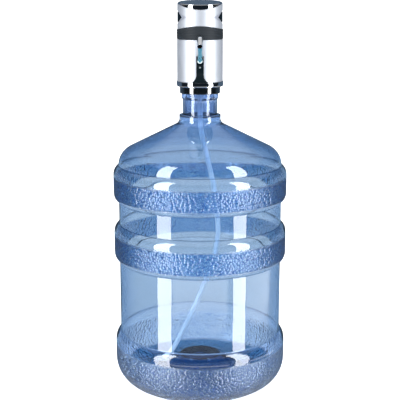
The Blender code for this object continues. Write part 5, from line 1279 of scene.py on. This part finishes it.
class WATERPUMP_OT_port_cover(bpy.types.Operator):
    """Mould the rubber cover over the charging port, and its anchor"""

    bl_idname = "water_pump.port_cover"
    bl_label = "Port cover"

    def execute(self, context):
        place = Matrix.Translation(COVER_HINGE) @ BACK
        skin = ring_outline(0.0355, 0.0370, 0.505, 0.530)
        outline = oblong(-0.0075, 0, 0.0075, 0.0095)
        cover = prism("rubber_port_cover", rounded(outline, 0.0022, 6), -0.006, 0.006, place)
        carve(cover, revolved("cover_skin", skin, 256), "INTERSECT")
        finger = oblong(-0.0030, 0.0072, 0.0030, 0.0078)
        carve(cover, prism("finger_groove", finger, 0.0004, 0.006, place))
        round_edges(cover, 0.0003)
        dress(cover, "black_silicone", "cover", "port_cover")
        outline = oblong(-0.0075, -0.0036, 0.0075, -0.0014)
        anchor = prism("rubber_cover_anchor", rounded(outline, 0.0007, 4), -0.006, 0.006, place)
        carve(anchor, revolved("anchor_skin", skin, 256), "INTERSECT")
        round_edges(anchor, 0.0003)
        dress(anchor, "black_silicone", "pump", "cover_anchor")
        return {"FINISHED"}


class WATERPUMP_OT_springs(bpy.types.Operator):
    """Wind the four return springs"""

    bl_idname = "water_pump.springs"
    bl_label = "Springs"

    def execute(self, context):
        slant = Matrix.Translation((0, 0, TOP)) @ Matrix.Rotation(SLANT, 4, "X")
        down = (0, math.sin(SLANT), -math.cos(SLANT))
        back = Matrix.Translation((0, 0, 0.5320)) @ Matrix.Rotation(math.pi / 2, 4, "X")
        # Node, name, place, then radius, start, end, turns and wire, then joint, its axis and the share kept
        rows = [
            ("button_spring", "disc_spring", slant, (0.0062, -0.0028, -0.02711, 6, 0.0003))
            + ("top_press", down, 0.951),
            ("lever_spring", "lever_return_spring", back, (0.0016, 0.0357, 0.0377, 4, 0.0002))
            + ("lever_push", (0, 1, 0), 0.65),
        ]
        for side, sign in (("right", 1), ("left", -1)):
            place = Matrix.Rotation(0 if sign > 0 else math.pi, 4, "Z") @ Matrix.Translation((0, 0, PAD_HEIGHT))
            place = place @ Matrix.Rotation(math.pi / 2, 4, "Y")
            wound = (side + "_button_spring", side + "_pad_spring", place, (0.0032, 0.0242, 0.0298, 4, 0.0003))
            rows.append((*wound, side + "_press", (-sign, 0, 0), 0.90))
        for node, name, place, wire, joint, axis, keep in rows:
            spring = dress(coil(name, place, *wire), "bright_steel", "pump", node)
            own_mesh(spring)
        return {"FINISHED"}


class WATERPUMP_OT_inner_parts(bpy.types.Operator):
    """Give every piece that keeps its frame shape its material and smooth shading"""

    bl_idname = "water_pump.inner_parts"
    bl_label = "Inner parts"

    def execute(self, context):
        slots = {part["node"]: part["material_slot"] for part in frame["record"]["subparts"]}
        shading = bpy.data.node_groups.new("eased_shading", "GeometryNodeTree")
        shading.interface.new_socket("Geometry", in_out="INPUT", socket_type="NodeSocketGeometry")
        shading.interface.new_socket("Geometry", in_out="OUTPUT", socket_type="NodeSocketGeometry")
        source = add(shading, "NodeGroupInput")
        plain = add(shading, "GeometryNodeRemoveAttribute", {"Geometry": source, "Name": "custom_normal"})
        joined = add(shading, "GeometryNodeMergeByDistance", {"Geometry": plain, "Distance": 1e-6})
        angle = add(shading, "GeometryNodeInputMeshEdgeAngle").outputs["Unsigned Angle"]
        limit = {0: angle, 1: math.radians(35)}
        crisp = add(shading, "FunctionNodeCompare", limit, data_type="FLOAT", operation="GREATER_THAN")
        shaded = joined
        for domain, more in (
            ("FACE", {"Shade Smooth": True}),
            ("EDGE", {"Shade Smooth": True}),
            ("EDGE", {"Selection": crisp, "Shade Smooth": False}),
        ):
            shaded = add(shading, "GeometryNodeSetShadeSmooth", {"Geometry": shaded, **more}, domain=domain)
        add(shading, "NodeGroupOutput", {0: shaded})
        for name, node in frame["nodes"].items():
            if node.hide_render:
                continue
            easing = node.modifiers.new("shading", "NODES")
            easing.node_group = shading
            node.data.materials.clear()
            node.data.materials.append(finish(slots[name]))
        return {"FINISHED"}


class WATERPUMP_PT_panel(bpy.types.Panel):
    """The pieces of the pump, in the order in which they are made"""

    bl_idname = "WATERPUMP_PT_panel"
    bl_label = "Water pump"
    bl_space_type = "VIEW_3D"
    bl_region_type = "UI"
    bl_category = "Water Pump"

    def draw(self, context):
        for operator in OPERATORS:
            self.layout.operator(operator.bl_idname)


GROUPS = {
    "water_pump_bottle": BottleSettings,
    "water_pump_pump": PumpSettings,
    "water_pump_studio": StudioSettings,
}
OPERATORS = (
    WATERPUMP_OT_stage,
    WATERPUMP_OT_intake_tube,
    WATERPUMP_OT_bottle,
    WATERPUMP_OT_seat,
    WATERPUMP_OT_casing,
    WATERPUMP_OT_grip,
    WATERPUMP_OT_top,
    WATERPUMP_OT_side_buttons,
    WATERPUMP_OT_spout,
    WATERPUMP_OT_lever,
    WATERPUMP_OT_spine,
    WATERPUMP_OT_port_cover,
    WATERPUMP_OT_springs,
    WATERPUMP_OT_inner_parts,
)


def register():
    for kind in (*GROUPS.values(), *OPERATORS, WATERPUMP_PT_panel):
        bpy.utils.register_class(kind)
    for name, kind in GROUPS.items():
        setattr(bpy.types.Scene, name, PointerProperty(type=kind))


def unregister():
    for name in GROUPS:
        delattr(bpy.types.Scene, name)
    for kind in (WATERPUMP_PT_panel, *reversed(OPERATORS), *GROUPS.values()):
        bpy.utils.unregister_class(kind)


def main():
    register()
    for operator in OPERATORS:
        group, name = operator.bl_idname.split(".")
        getattr(getattr(bpy.ops, group), name)()


if __name__ == "__main__":
    main()
